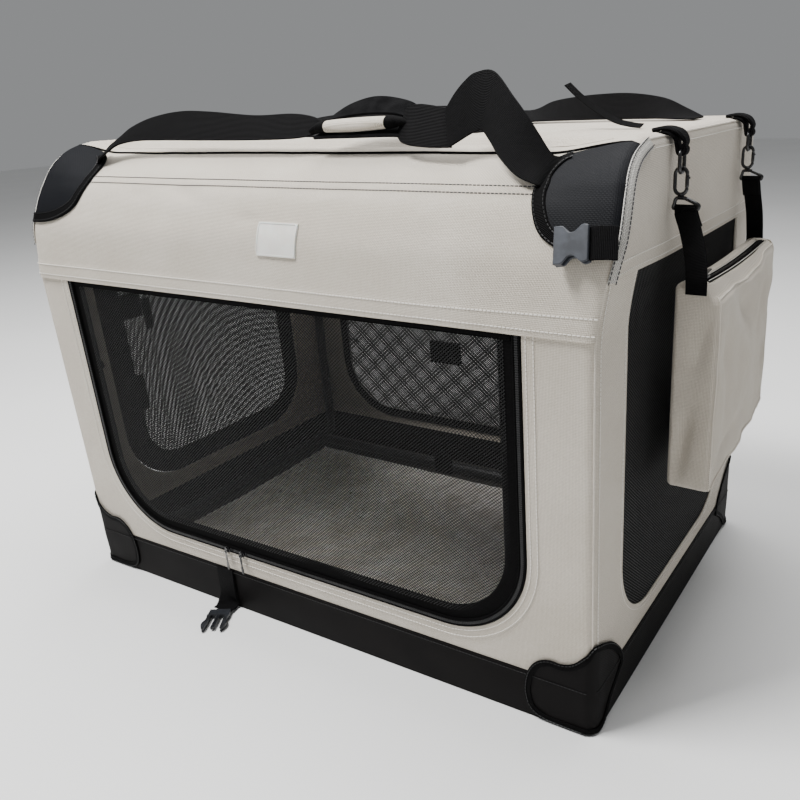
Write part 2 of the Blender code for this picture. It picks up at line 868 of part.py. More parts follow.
def make_female_buckle(mats):
    """Sewn into the front right seam on a short web, lying along the slope."""
    lift = patch_thickness + 2 * fit_gap
    seam = Vector((half_width - cloth - fit_gap, slope_at(socket_height, lift), socket_height))
    up = Vector(socket_lean).normalized()
    out = Vector((0, -up.z, up.y))
    to_world = Matrix((Vector((-1, 0, 0)), up, out)).transposed().to_4x4()
    to_world.translation = seam

    def local(tool):
        bmesh.ops.transform(tool, matrix=to_world, verts=tool.verts)
        return tool

    half = webbing_width / 2
    web = local(box((-seam_gap, -half, cloth), (socket_web, half, cloth + webbing_thickness)))
    add_object("buckle_web", web, mats["webbing"], seam)
    start = socket_web + seam_gap
    end = start + buckle_length
    low = 0.001
    half = buckle_width / 2
    body = box((start, -half, low), (end, half, low + buckle_thickness))
    ends = [e for e in body.edges if abs(e.verts[0].co.z - e.verts[1].co.z) > buckle_thickness / 2]
    bmesh.ops.bevel(body, geom=ends, offset=buckle_corner, segments=2, affect="EDGES", profile=0.5)
    buckle = add_object("buckle_socket", local(body), mats["grey_plastic"], seam)
    inside_low = low + buckle_wall
    inside_high = low + buckle_thickness - buckle_wall
    throat = half - 2.5 * buckle_wall
    mouth = local(box((end - mouth_depth, -throat, inside_low), (end + cloth, throat, inside_high)))
    boolean(buckle, add_object("buckle_mouth", mouth, None), "DIFFERENCE")
    for side in (-1, 1):
        inner, outer = sorted((side * (throat - cloth), side * (half + cloth)))
        notch_end = end - mouth_depth / 2
        notch = local(box((end - mouth_depth, inner, inside_low), (notch_end, outer, inside_high)))
        boolean(buckle, add_object(f"buckle_window_{side}", notch, None), "DIFFERENCE")


def make_male_buckle(mats):
    """The pronged half, lying on the ground in front on a web that comes down over the band."""
    front = -half_depth - lobe_proud
    path = [(plug_x, front - away, z) for away, z in plug_web_shape]
    web = sweep(smooth_path(path, 3), strap_section(webbing_width, webbing_thickness), (1, 0, 0))
    add_object("buckle_web_front", web, mats["webbing"])
    yaw = math.radians(plug_yaw_deg)
    away = plug_web_shape[-1][0] + plug_gap + webbing_width / 2 * math.sin(yaw)
    base = Vector((plug_x + cloth, front - away, 0))
    turn = Matrix.Translation(base) @ Matrix.Rotation(yaw, 4, "Z")
    right_half = plug_shape
    left_half = [(-u, v) for u, v in reversed(plug_shape)]
    body = prism(right_half + left_half, "z", plug_low, plug_low + plug_thickness)
    bmesh.ops.transform(body, matrix=turn, verts=body.verts)
    pivot = (base.x, base.y, plug_low + plug_thickness / 2)
    add_object("buckle_plug", body, mats["grey_plastic"], pivot)


# Handles


def make_handles(mats):
    section = strap_section(strap_width, strap_thickness)
    front_pivot = (0, front_handle_y, height)
    lean = (0, 0.80, 0.60)
    flat = (0, 0.97, 0.24)
    left = smooth_path(over_roof(front_strap_left_shape, front_handle_y), 2)
    add_object("front_strap_left", sweep(left, section, flat), mats["webbing"], front_pivot)
    right = smooth_path(over_roof(front_strap_right_shape, front_handle_y), 2)
    add_object("front_strap_right", sweep(right, section, lean), mats["webbing"], front_pivot)
    grip_section = [(u * grip_width_share, v) for u, v in circle(grip_radius, 12)]
    grip = sweep(over_roof(grip_shape, front_handle_y), grip_section, (0, 1, 0))
    add_object("handle_wrap", grip, mats["canvas"], front_pivot)
    rear = smooth_path(over_roof(rear_strap_shape, rear_handle_y), 2)
    rear_section = strap_section(rear_strap_width, strap_thickness)
    rear_strap = sweep(rear, rear_section, (0, 0.60, 0.80))
    add_object("rear_strap", rear_strap, mats["webbing"], (0, rear_handle_y, height))
    tie = smooth_path(over_roof(tie_shape, 0), 3)
    tie_piece = sweep(tie, strap_section(tie_width, tie_thickness), (0, 1, 0))
    add_object("tie_tape", tie_piece, mats["webbing"], (-hoop_x, 0, top_bar_height))


# Pouch


def make_pouch(mats):
    front_sewn = (pouch_front + strap_sewn_inset, strap_out_front)
    rear_sewn = (pouch_rear - strap_sewn_inset, strap_out_rear)
    make_hanger("front", hanger_front_y, *front_sewn, mats)
    make_hanger("rear", hanger_rear_y, *rear_sewn, mats)
    swing = (hanger_x, 0, link_low)
    outline = [
        (pouch_inner_x, pouch_front),
        (pouch_inner_x + pouch_front_depth, pouch_front),
        (pouch_inner_x + pouch_rear_depth, pouch_rear),
        (pouch_inner_x, pouch_rear),
    ]
    body = prism(outline, "z", pouch_low, pouch_high)
    bmesh.ops.bevel(body, geom=list(body.edges), offset=pouch_corner, segments=2, affect="EDGES", profile=0.5)
    add_object("pouch_body", body, mats["canvas"], swing)
    zip_x = pouch_inner_x + pouch_zip_inset
    zip_top = pouch_high + cloth
    strip = box(
        (zip_x - pouch_zip_half, pouch_front + pouch_zip_end, pouch_high + fit_gap),
        (zip_x + pouch_zip_half, pouch_rear - pouch_zip_end, zip_top),
    )
    add_object("pouch_zipper", strip, mats["tape"], swing)
    slider_front = pouch_front + pouch_zip_end + pouch_slider_start
    slider = box(
        (zip_x - pouch_slider_half_width, slider_front, zip_top + fit_gap),
        (zip_x + pouch_slider_half_width, slider_front + 2 * slider_half_width, zip_top + slider_depth),
    )
    add_object("pouch_slider", slider, mats["zinc"], (zip_x, slider_front, pouch_high))


def make_loop(word, y, mats):
    """A webbing loop sewn to the roof edge, with an eye that the link hangs in."""
    outer = link_rod + loop_wall + loop_clearance
    ring = round_bar((hanger_x, link_top), "y", outer, y - loop_half, y + loop_half, 16)
    loop = add_object(f"pouch_loop_{word}", ring, mats["webbing"], (-hoop_x, 0, top_bar_height))
    tail_left = hanger_x - outer
    tail_right = hanger_x - link_rod - loop_clearance
    tail_top = height + seam_gap + loop_over
    tail = box((tail_left, y - loop_half, link_top), (tail_right, y + loop_half, tail_top))
    boolean(loop, add_object(f"loop_tail_{word}", tail, None), "UNION")
    over = box(
        (hanger_x - loop_reach, y - loop_half, height + seam_gap),
        (tail_right, y + loop_half, tail_top),
    )
    boolean(loop, add_object(f"loop_over_{word}", over, None), "UNION")
    inner = link_rod + loop_clearance
    bore = round_bar((hanger_x, link_top), "y", inner, y - 2 * loop_half, y + 2 * loop_half, 16)
    boolean(loop, add_object(f"loop_bore_{word}", bore, None), "DIFFERENCE")


def make_hanger(word, y, sewn_y, strap_out, mats):
    """A loop on the roof edge, a link, a snap hook with its gate, and the pouch's strap."""
    make_loop(word, y, mats)
    middle = link_top - link_half_height + link_rod
    half_u = link_half_width - link_rod
    half_v = link_half_height - link_rod
    oval = rounded_rectangle(-half_u, half_u, -half_v, half_v, link_corner)[::2]
    link = closed_sweep([(hanger_x, y + u, middle + v) for u, v in oval], link_rod, (1, 0, 0))
    add_object(f"pouch_link_{word}", link, mats["zinc_black"], (hanger_x, 0, link_top))

    hook_middle = link_low + link_rod + seam_gap + hook_rod - (hook_half_height - hook_rod)
    swing = (hanger_x, 0, link_low)
    ring_u = hook_half_width - hook_rod / 2
    ring_v = hook_half_height - hook_rod - ring_u
    upper = arc((0, ring_v), ring_u, 0, 180, 6)
    lower = arc((0, -ring_v), ring_u, 180, 360, 6)
    open_path = [(ring_u, gate_half)] + upper + lower + [(ring_u, -gate_half)]
    hook_points = [(hanger_x + u, y, hook_middle + v) for u, v in open_path]
    hook_body = sweep(hook_points, circle(hook_rod, 6), (0, 1, 0))
    hook = add_object(f"snap_hook_{word}", hook_body, mats["zinc_black"], swing)
    hook_bottom = hook_middle - hook_half_height + hook_rod
    stem_outline = [(hanger_x + u, y + v) for u, v in circle(stem_radius, 8)]
    stem = prism(stem_outline, "z", hook_bottom - stem_length, hook_bottom)
    boolean(hook, add_object(f"hook_stem_{word}", stem, None), "UNION")
    eye_top = hook_bottom - stem_length + seam_gap
    eye_low = eye_top - eye_height
    eye_half = hang_strap_width / 2 + eye_side_gap
    eye_path = rounded_rectangle(-eye_half, eye_half, -eye_height / 2, eye_height / 2, link_corner)[::2]
    eye_middle = (eye_top + eye_low) / 2
    eye_x = hanger_x + eye_shift
    eye = closed_sweep([(eye_x + u, y, eye_middle + v) for u, v in eye_path], hook_rod, (0, 1, 0))
    boolean(hook, add_object(f"hook_eye_{word}", eye, None), "UNION")

    gate_x = hanger_x + ring_u
    gate_low = hook_middle - gate_half + gate_foot_gap
    gate_high = hook_middle + gate_half - seam_gap
    gate_outline = [(gate_x + u, y + v) for u, v in circle(hook_rod, 8)]
    gate = prism(gate_outline, "z", gate_low, gate_high)
    add_object(f"hook_gate_{word}", gate, mats["zinc_black"], (gate_x, y, gate_low))

    wrap = hook_rod + strap_clearance + webbing_thickness / 2
    toward = math.copysign(1, sewn_y - y)
    around = [(eye_x, y + toward * u, eye_low + v) for u, v in arc((0, 0), wrap, -30, 180, 6)]
    sewn_z = pouch_high + seam_gap
    sewn = [(eye_x + strap_out, sewn_y, z) for z in (sewn_z, sewn_z + strap_foot)]
    tucked = [(eye_x, y - toward * wrap, eye_low - eye_height)]
    start = [(eye_x, y + toward * (wrap + strap_start_out), eye_low - strap_start_drop)]
    section = strap_section(hang_strap_width, webbing_thickness)
    strap = sweep(sewn + start + around + tucked, section, (1, 0, 0))
    add_object(f"pouch_strap_{word}", strap, mats["webbing"], swing)


def closed_sweep(points, radius, across, sides=6):
    """A closed ring of round rod."""
    tool = bmesh.new()
    points = [Vector(p) for p in points]
    count = len(points)
    rings = []
    for i, point in enumerate(points):
        along = (points[(i + 1) % count] - points[i - 1]).normalized()
        side = Vector(across)
        up = along.cross(side)
        rings.append([tool.verts.new(point + side * u + up * v) for u, v in circle(radius, sides)])
    for i in range(count):
        first = rings[i]
        second = rings[(i + 1) % count]
        for k in range(sides):
            after = (k + 1) % sides
            tool.faces.new((first[k], first[after], second[after], second[k]))
    return tool


def main():
    clear_scene()
    mats = {
        "canvas": material("greige polyester canvas", (0.50, 0.46, 0.40), 0.8),
        "satin": material("black coated polyester", (0.012, 0.012, 0.014), 0.45),
        "board": material("black base board", (0.02, 0.02, 0.02), 0.7),
        "fleece": material("pale fleece", (0.55, 0.52, 0.46), 0.95),
        "steel": material("powder coated steel tube", (0.05, 0.05, 0.05), 0.4, 0.8),
        "plastic": material("black nylon", (0.02, 0.02, 0.02), 0.5),
        "grey_plastic": material("slate acetal", (0.08, 0.09, 0.11), 0.35),
        "net": material("black polyester net", (0.01, 0.01, 0.01), 0.7),
        "tape": material("black zipper tape", (0.012, 0.012, 0.012), 0.75),
        "webbing": material("black polypropylene webbing", (0.012, 0.012, 0.014), 0.6),
        "rubber": material("soft pvc badge", (0.62, 0.60, 0.55), 0.6),
        "zinc": material("plated zinc", (0.55, 0.55, 0.58), 0.3, 1.0),
        "zinc_black": material("black coated zinc", (0.02, 0.02, 0.02), 0.35, 0.6),
    }
    make_base(mats)
    make_frame(mats)
    make_front(mats)
    for side, word in ((-1, "left"), (1, "right")):
        make_end(side, word, mats)
    make_back(mats)
    make_top(mats)
    make_patches(mats)
    make_slider("left", slider_left_x, mats)
    make_slider("right", slider_right_x, mats)
    make_female_buckle(mats)
    make_male_buckle(mats)
    make_handles(mats)
    make_pouch(mats)


main()
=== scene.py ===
import math

import bpy
import numpy as np
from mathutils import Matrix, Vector, noise


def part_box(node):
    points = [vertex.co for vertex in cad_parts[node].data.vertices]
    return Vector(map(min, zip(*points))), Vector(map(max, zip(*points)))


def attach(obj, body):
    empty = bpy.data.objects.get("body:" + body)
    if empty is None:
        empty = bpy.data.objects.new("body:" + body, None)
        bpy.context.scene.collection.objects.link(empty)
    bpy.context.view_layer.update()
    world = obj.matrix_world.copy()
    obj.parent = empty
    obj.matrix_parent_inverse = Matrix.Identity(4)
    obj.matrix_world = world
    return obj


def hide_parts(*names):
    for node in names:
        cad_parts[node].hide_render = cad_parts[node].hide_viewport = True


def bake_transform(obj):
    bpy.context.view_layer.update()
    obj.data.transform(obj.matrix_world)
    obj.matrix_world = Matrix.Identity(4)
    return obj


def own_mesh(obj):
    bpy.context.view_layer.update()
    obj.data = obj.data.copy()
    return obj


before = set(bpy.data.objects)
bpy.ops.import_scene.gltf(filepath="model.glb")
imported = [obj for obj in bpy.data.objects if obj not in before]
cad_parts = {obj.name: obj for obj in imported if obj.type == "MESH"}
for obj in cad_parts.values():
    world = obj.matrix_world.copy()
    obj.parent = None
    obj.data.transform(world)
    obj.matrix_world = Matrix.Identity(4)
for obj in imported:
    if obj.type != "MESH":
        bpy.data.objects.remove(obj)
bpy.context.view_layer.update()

# Soft folding dog crate: cloth, nets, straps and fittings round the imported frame. All sizes are in metres.
crate = {
    "halfWidth": 0.405, "halfDepth": 0.263, "height": 0.605, "bandTop": 0.0605, "frontHem": 0.444,
    "endHem": 0.487, "corner": 0.012, "clothThickness": 0.0013,
}
hw, hd, top, foot = crate["halfWidth"], crate["halfDepth"], crate["height"], crate["bandTop"] - 0.002

# the front of the cover from the hem up to the roof: distance behind the front, drop below the roof
slopeShape = [(0.0, 0.161), (0.0025, 0.13), (0.0065, 0.1), (0.016, 0.077), (0.026, 0.059), (0.038, 0.042),
              (0.053, 0.025), (0.073, 0.012), (0.093, 0.005), (0.113, 0.0)]


# nodes and colours


def hexColour(code):
    parts = [int(code[i:i + 2], 16) / 255 for i in (1, 3, 5)]
    return (*[p / 12.92 if p <= 0.04045 else ((p + 0.055) / 1.055) ** 2.4 for p in parts], 1.0)


def addNode(tree, kind, links=None, **settings):
    node = tree.nodes.new(kind)
    for key, value in settings.items():
        setattr(node, key, value)
    for key, value in (links or {}).items():
        if isinstance(value, bpy.types.NodeSocket):
            tree.links.new(value, node.inputs[key])
        else:
            node.inputs[key].default_value = value
    return node


def newFinish(name, **sockets):
    made = bpy.data.materials.new(name)
    made.use_nodes = True
    shader = made.node_tree.nodes["Principled BSDF"]
    for key, value in sockets.items():
        shader.inputs[key.replace("_", " ")].default_value = value
    return made, made.node_tree, shader


# lines


def smoothLine(points, perSpan=8):
    pts = np.array(points, float)
    padded = np.vstack([2 * pts[0] - pts[1], pts, 2 * pts[-1] - pts[-2]])
    made = []
    for a, b, c, d in zip(padded, padded[1:], padded[2:], padded[3:]):
        for k in range(perSpan):
            t = k / perSpan
            square, cube = 2 * a - 5 * b + 4 * c - d, 3 * b - a - 3 * c + d
            made.append(0.5 * (2 * b + (c - a) * t + square * t * t + cube * t ** 3))
    made.append(pts[-1])
    return np.array(made)


def runOf(points):
    steps = np.linalg.norm(np.diff(points, axis=0), axis=1)
    return np.concatenate([[0.0], np.cumsum(steps)])


def evenLine(points, step):
    points = np.array(points, float)
    run = runOf(points)
    count = max(2, int(round(run[-1] / step)) + 1)
    at = np.linspace(0, run[-1], count)
    return np.stack([np.interp(at, run, points[:, k]) for k in range(points.shape[1])], axis=1)


def straight(p, q, step=0.01):
    return evenLine([p, q], step)


def arcLine(centre, radius, start, end, steps):
    at = np.radians(np.linspace(start, end, steps + 1))
    return np.stack([centre[0] + radius * np.cos(at), centre[1] + radius * np.sin(at)], axis=1)


def ringLine(halfU, halfV, corner, steps=6):
    # a rounded rectangle about the origin, walked once
    turns = [((halfU - corner, halfV - corner), 0), ((corner - halfU, halfV - corner), 90),
             ((corner - halfU, corner - halfV), 180), ((halfU - corner, corner - halfV), 270)]
    return np.vstack([arcLine(centre, corner, start, start + 90, steps) for centre, start in turns])


def closeLine(path):
    return np.vstack([path, path[:1]])


def unit(vectors):
    return vectors / np.linalg.norm(vectors, axis=1)[:, None]


def aheadOf(path, closed=False):
    # the way a line runs at each of its points
    if closed:
        return unit(np.roll(path, -1, axis=0) - np.roll(path, 1, axis=0))
    return unit(np.gradient(path, axis=0))


def besidePath(path, by, closed=False):
    path = np.array(path, float)
    ahead = aheadOf(path, closed)
    return path + np.stack([-ahead[:, 1], ahead[:, 0]], axis=1) * by


def placed(x, y, z):
    # 3-D points from three coordinates, each one number or an array
    return np.stack(np.broadcast_arrays(x, y, z), axis=1).astype(float)


# meshes


def makeMesh(name, verts, faces, finish, uvs=None, smooth=35):
    mesh = bpy.data.meshes.new(name)
    mesh.from_pydata([tuple(v) for v in verts], [], faces)
    mesh.update()
    if uvs is not None:
        layer = mesh.uv_layers.new(name="flat")
        loops = np.zeros(len(mesh.loops), np.int32)
        mesh.loops.foreach_get("vertex_index", loops)
        layer.data.foreach_set("uv", np.asarray(uvs, np.float32)[loops].ravel())
    if smooth:
        mesh.shade_smooth()
        mesh.set_sharp_from_angle(angle=math.radians(smooth))
    mesh.materials.append(finish)
    return showMesh(name, mesh)


def showMesh(name, mesh):
    obj = bpy.data.objects.new(name, mesh)
    bpy.context.scene.collection.objects.link(obj)
    return obj


def joinParts(name, parts, finish, smooth=35):
    # several (verts, faces, uvs) groups as one piece
    verts, faces, uvs = [], [], []
    for part in parts:
        start = len(verts)
        verts += [tuple(v) for v in part[0]]
        faces += [tuple(i + start for i in f) for f in part[1]]
        uvs += [tuple(t) for t in part[2]]
    return makeMesh(name, verts, faces, finish, uvs, smooth)


def gridFaces(rows, cols, around=False):
    faces = []
    for r in range(rows - 1):
        for c in range(cols if around else cols - 1):
            d = (c + 1) % cols
            faces.append((r * cols + c, r * cols + d, (r + 1) * cols + d, (r + 1) * cols + c))
    return faces


def tubeFaces(rows, cols, closed=False):
    # rings joined into a tube, which is capped or else closed on itself
    last = (rows - 1) * cols
    faces = gridFaces(rows, cols, True)
    if closed:
        return faces + [(last + k, last + (k + 1) % cols, (k + 1) % cols, k) for k in range(cols)]
    return faces + [tuple(reversed(range(cols))), tuple(range(last, last + cols))]


def thicken(outer, inner, faces):
    # closes two layers of one grid along every open edge
    count = len(outer)
    seen = {}
    for f in faces:
        for a, b in zip(f, f[1:] + f[:1]):
            seen[(a, b)] = True
    sides = [(b, a, a + count, b + count) for a, b in seen if (b, a) not in seen]
    back = [tuple(i + count for i in reversed(f)) for f in faces]
    return np.vstack([outer, inner]), list(faces) + back + sides


def orderedPart(part):
    # turns a closed part's faces outwards
    verts = np.array(part[0])
    volume = 0.0
    for f in part[1]:
        a = verts[f[0]]
        for b, c in zip(f[1:], f[2:]):
            volume += np.dot(a, np.cross(verts[b], verts[c]))
    if volume < 0:
        return (part[0], [tuple(reversed(f)) for f in part[1]], *part[2:])
    return part


def sweptPart(points, sections, sides, closed=False):
    # carries flat sections (arrays of across, up) along 3-D points
    points = np.array(points, float)
    count = len(points)
    ahead = aheadOf(points, closed)
    side = np.array(sides, float) * np.ones((count, 1)) if np.ndim(sides) == 1 else np.array(sides, float)
    side = unit(side - ahead * np.sum(side * ahead, axis=1)[:, None])
    up = np.cross(ahead, side)
    sections = np.array(sections, float)
    if sections.ndim == 2:
        sections = np.repeat(sections[None], count, axis=0)
    around = sections.shape[1]
    verts = points[:, None] + side[:, None] * sections[:, :, :1] + up[:, None] * sections[:, :, 1:]
    uvs = np.stack([sections[:, :, 0], np.repeat(runOf(points)[:, None], around, axis=1)], axis=2)
    return orderedPart((verts.reshape(-1, 3), tubeFaces(count, around, closed), uvs.reshape(-1, 2)))


def roundSection(radius, sides=8, squash=1.0):
    at = np.arange(sides) * 2 * math.pi / sides
    return np.stack([radius * np.cos(at), radius * squash * np.sin(at)], axis=1)


def strapSection(broad, thick):
    # a flat web with soft edges
    u, v = broad / 2, thick / 2
    near = u - 0.4 * thick
    return np.array([(-u, 0.0), (-near, -v), (-u / 3, -v), (u / 3, -v), (near, -v),
                     (u, 0.0), (near, v), (u / 3, v), (-u / 3, v), (-near, v)])


# the cover's skin: sharp faces first, then every corner rounded to one radius


slopeLine = smoothLine([(-hd + back, top - drop) for back, drop in slopeShape], 6)
roofLine = np.vstack([slopeLine, [(hd, top)]])
roofRun = runOf(roofLine)
slopeLength = runOf(slopeLine)[-1]
underFloor = -0.3


def innerProfile():
    # the cover's outline seen from the end, drawn in by the corner radius
    line = np.vstack([[(-hd, underFloor)], roofLine, [(hd, underFloor)]])
    ahead = unit(np.diff(line, axis=0))
    inward = np.stack([ahead[:, 1], -ahead[:, 0]], axis=1)
    made = [line[0] + inward[0] * crate["corner"]]
    for here, a, b in zip(line[1:], inward, inward[1:]):
        made.append(here + (a + b) / (1 + np.dot(a, b)) * crate["corner"])
    made.append(line[-1] + inward[-1] * crate["corner"])
    return np.array(made)


innerLine = innerProfile()

# the frame pushes the cover's upper front right corner out of line, most at the height of the buckle,
# and the front edge of the roof hangs between its two corners
slump = {
    "out": 0.012, "back": 0.006, "lift": 0.009, "z": 0.518, "up": 0.12, "down": 0.085, "hemZ": 0.49,
    "hemReach": 0.05, "reachX": 0.2, "reachY": 0.2, "frontKept": 0.03, "sag": 0.0095, "flat": 0.31,
    "ends": 0.085, "sagZ": 0.545, "sagRise": 0.045, "seamY": -0.149, "seamReach": 0.016,
}


def easeIn(distance, reach):
    t = np.clip(distance / reach, 0, 1)
    return t * t * (3 - 2 * t)


def slumped(points):
    x, y, z = points.T
    fromSide = easeIn(x - hw + slump["reachX"], slump["reachX"])
    fromFront = 1 - easeIn(y + hd - slump["frontKept"], slump["reachY"])
    above = z - slump["z"]
    tall = np.clip(np.where(above > 0, above / slump["up"], -above / slump["down"]), 0, 1)
    level = np.cos(tall * np.pi / 2) ** 2
    hem = np.cos(np.clip(np.abs(z - slump["hemZ"]) / slump["hemReach"], 0, 1) * np.pi / 2) ** 2
    share = fromSide * fromFront
    middle = 1 - easeIn(np.abs(x) - slump["flat"], slump["ends"])
    edge = easeIn(z - slump["sagZ"], slump["sagRise"]) * (1 - easeIn(y - slump["seamY"], slump["seamReach"]))
    lift = share * hem * slump["lift"] - middle * edge * slump["sag"]
    return points + np.column_stack([share * level * slump["out"], share * level * slump["back"], lift])


def skin(sharp, out):
    # a point of the sharp cover moved onto the rounded one, and outward by out
    sharp = np.array(sharp, float)
    radius = crate["corner"]
    reach = hw - radius
    flatPoint = sharp[:, 1:]
    a, b = innerLine[:-1], innerLine[1:]
    along = b - a
    long2 = np.sum(along * along, axis=1)
    share = np.clip(((flatPoint[:, None] - a[None]) * along[None]).sum(2) / long2[None], 0, 1)
    near = a[None] + share[:, :, None] * along[None]
    gap = np.linalg.norm(flatPoint[:, None] - near, axis=2)
    best = near[np.arange(len(sharp)), gap.argmin(1)]
    inward = np.stack([along[:, 1], -along[:, 0]], axis=1)
    within = (((flatPoint[:, None] - a[None]) * inward[None]).sum(2) >= 0).all(1)
    best = np.where(within[:, None], flatPoint, best)
    centre = np.column_stack([np.clip(sharp[:, 0], -reach, reach), best])
    push = unit(sharp - centre)
    return slumped(centre + push * (radius + np.broadcast_to(out, len(sharp))[:, None]))


# faces of the sharp cover, each from its own flat u and v


def onFront(u, v):
    # v is the height up to the hem, and from there the way up the slope and over the roof
    above = np.maximum(v - crate["frontHem"], 0)
    z = np.where(v < crate["frontHem"], v, np.interp(above, roofRun, roofLine[:, 1]))
    return placed(u, np.interp(above, roofRun, roofLine[:, 0]), z)


def onRight(u, v):
    return placed(hw, u, v)


def onLeft(u, v):
    return placed(-hw, u, v)


def onBack(u, v):
    return placed(u, hd, v)


def onRoof(u, v):
    return placed(u, v, top)


def slopeAt(z):
    # how far up the front skin a height is
    return crate["frontHem"] + np.interp(z, roofLine[:len(slopeLine), 1], roofRun[:len(slopeLine)])


def frontEdge(z):
    # y of the cover's front outline at a height
    return np.where(z < crate["frontHem"], -hd, np.interp(z, slopeLine[:, 1], slopeLine[:, 0]))


def noiseField(u, v, seed, size, stretch=1.0):
    shape = np.shape(u)
    made = [noise.noise(Vector((a / size, b / size / stretch, seed))) for a, b in zip(np.ravel(u), np.ravel(v))]
    return np.array(made).reshape(shape)


def facePart(face, u, v, out, thickness, around=False):
    # a thin closed sheet over a grid of face coordinates
    rows, cols = u.shape
    flatU, flatV = u.ravel(), v.ravel()
    lift = np.broadcast_to(out, u.shape).ravel()
    sharp = face(flatU, flatV)
    verts, faces = thicken(skin(sharp, lift), skin(sharp, lift - thickness), gridFaces(rows, cols, around))
    uvs = np.column_stack([flatU, flatV])
    return orderedPart((verts, faces, np.vstack([uvs, uvs])))


def ribbonPart(face, path, width, out, rise=0.0008, closed=False):
    # a flat tape along a path on a face, crowned across; its back lies just under the cloth
    path = np.array(path, float)
    ahead = aheadOf(path, closed)
    across = np.stack([-ahead[:, 1], ahead[:, 0]], axis=1)
    offsets = np.array([-0.5, -0.46, -0.2, 0.2, 0.46, 0.5, 0.46, 0.0, -0.46])
    heights = rise * np.array([0.0, 1, 1.12, 1.12, 1, 0.0, -0.3, -0.3, -0.3])
    flat = path[:, None, :] + across[:, None, :] * (offsets * width)[None, :, None]
    lift = np.broadcast_to(out, len(path))[:, None] + heights[None, :]
    verts = skin(face(flat[:, :, 0].ravel(), flat[:, :, 1].ravel()), lift.ravel())
    u, v = np.meshgrid(offsets * width, runOf(path))
    return orderedPart((verts, tubeFaces(len(path), len(offsets), closed),
                        np.column_stack([u.ravel(), v.ravel()])))


def onSkin(face, path, out):
    path = np.array(path, float)
    return skin(face(path[:, 0], path[:, 1]), np.broadcast_to(out, len(path)))


# geometry nodes for what repeats along a line: stitches, zipper teeth and net strands


def newTree(name, sockets):
    tree = bpy.data.node_groups.new(name, "GeometryNodeTree")
    tree.interface.new_socket("Geometry", in_out="INPUT", socket_type="NodeSocketGeometry")
    for label, kind, value in sockets:
        socket = tree.interface.new_socket(label, in_out="INPUT", socket_type="NodeSocket" + kind)
        if value is not None:
            socket.default_value = value
    tree.interface.new_socket("Geometry", in_out="OUTPUT", socket_type="NodeSocketGeometry")
    given = tree.nodes.new("NodeGroupInput").outputs
    line = addNode(tree, "GeometryNodeMeshToCurve", {0: given["Geometry"]}).outputs[0]
    return tree, given, line


def endTree(tree, geometry, finish):
    real = addNode(tree, "GeometryNodeRealizeInstances", {"Geometry": geometry})
    painted = addNode(tree, "GeometryNodeSetMaterial", {"Geometry": real.outputs[0], "Material": finish})
    addNode(tree, "NodeGroupOutput", {0: painted.outputs[0]})
    return tree


def alongLine(tree, line, pitch, shape, turn):
    # one copy of a shape at each step along the line
    spaced = addNode(tree, "GeometryNodeResampleCurve", {"Curve": line}, mode="LENGTH")
    tree.links.new(pitch, spaced.inputs["Length"])
    return addNode(tree, "GeometryNodeInstanceOnPoints", {
        "Points": spaced.outputs[0], "Instance": shape.outputs[0], "Rotation": turn.outputs[0]}).outputs[0]


def stitchTree():
    tree, given, line = newTree("stitches along a line", [
        ("Pitch", "Float", 0.004), ("Length", "Float", 0.003), ("Radius", "Float", 0.0003),
        ("Thread", "Material", None)])
    bead = addNode(tree, "GeometryNodeMeshCylinder", {
        "Vertices": 5, "Radius": given["Radius"], "Depth": given["Length"]})
    tangent = addNode(tree, "GeometryNodeInputTangent").outputs[0]
    turn = addNode(tree, "FunctionNodeAlignRotationToVector", {"Vector": tangent}, axis="Z")
    return endTree(tree, alongLine(tree, line, given["Pitch"], bead, turn), given["Thread"])


def teethTree():
    # bars across a line, flat to the cloth: the line's own direction is X, the cloth's normal is Z
    tree, given, line = newTree("zipper teeth along a line", [
        ("Pitch", "Float", 0.0022), ("Across", "Float", 0.004), ("Size", "Float", 0.0013),
        ("Facing", "Vector", None), ("Coil", "Material", None)])
    size = addNode(tree, "ShaderNodeCombineXYZ", {0: given["Size"], 1: given["Across"], 2: given["Size"]})
    bar = addNode(tree, "GeometryNodeMeshCube", {"Size": size.outputs[0]})
    tangent = addNode(tree, "GeometryNodeInputTangent").outputs[0]
    first = addNode(tree, "FunctionNodeAlignRotationToVector", {"Vector": tangent}, axis="X")
    turn = addNode(tree, "FunctionNodeAlignRotationToVector", {
        "Rotation": first.outputs[0], "Vector": given["Facing"]}, axis="Z", pivot_axis="X")
    return endTree(tree, alongLine(tree, line, given["Pitch"], bar, turn), given["Coil"])


def strandTree():
    tree, given, line = newTree("net strands", [("Radius", "Float", 0.0006), ("Yarn", "Material", None)])
    ring = addNode(tree, "GeometryNodeCurvePrimitiveCircle", {"Resolution": 4, "Radius": given["Radius"]})
    tube = addNode(tree, "GeometryNodeCurveToMesh", {
        "Curve": line, "Profile Curve": ring.outputs[0], "Fill Caps": True})
    return endTree(tree, tube.outputs[0], given["Yarn"])


trees = {"stitch": stitchTree(), "teeth": teethTree(), "strand": strandTree()}


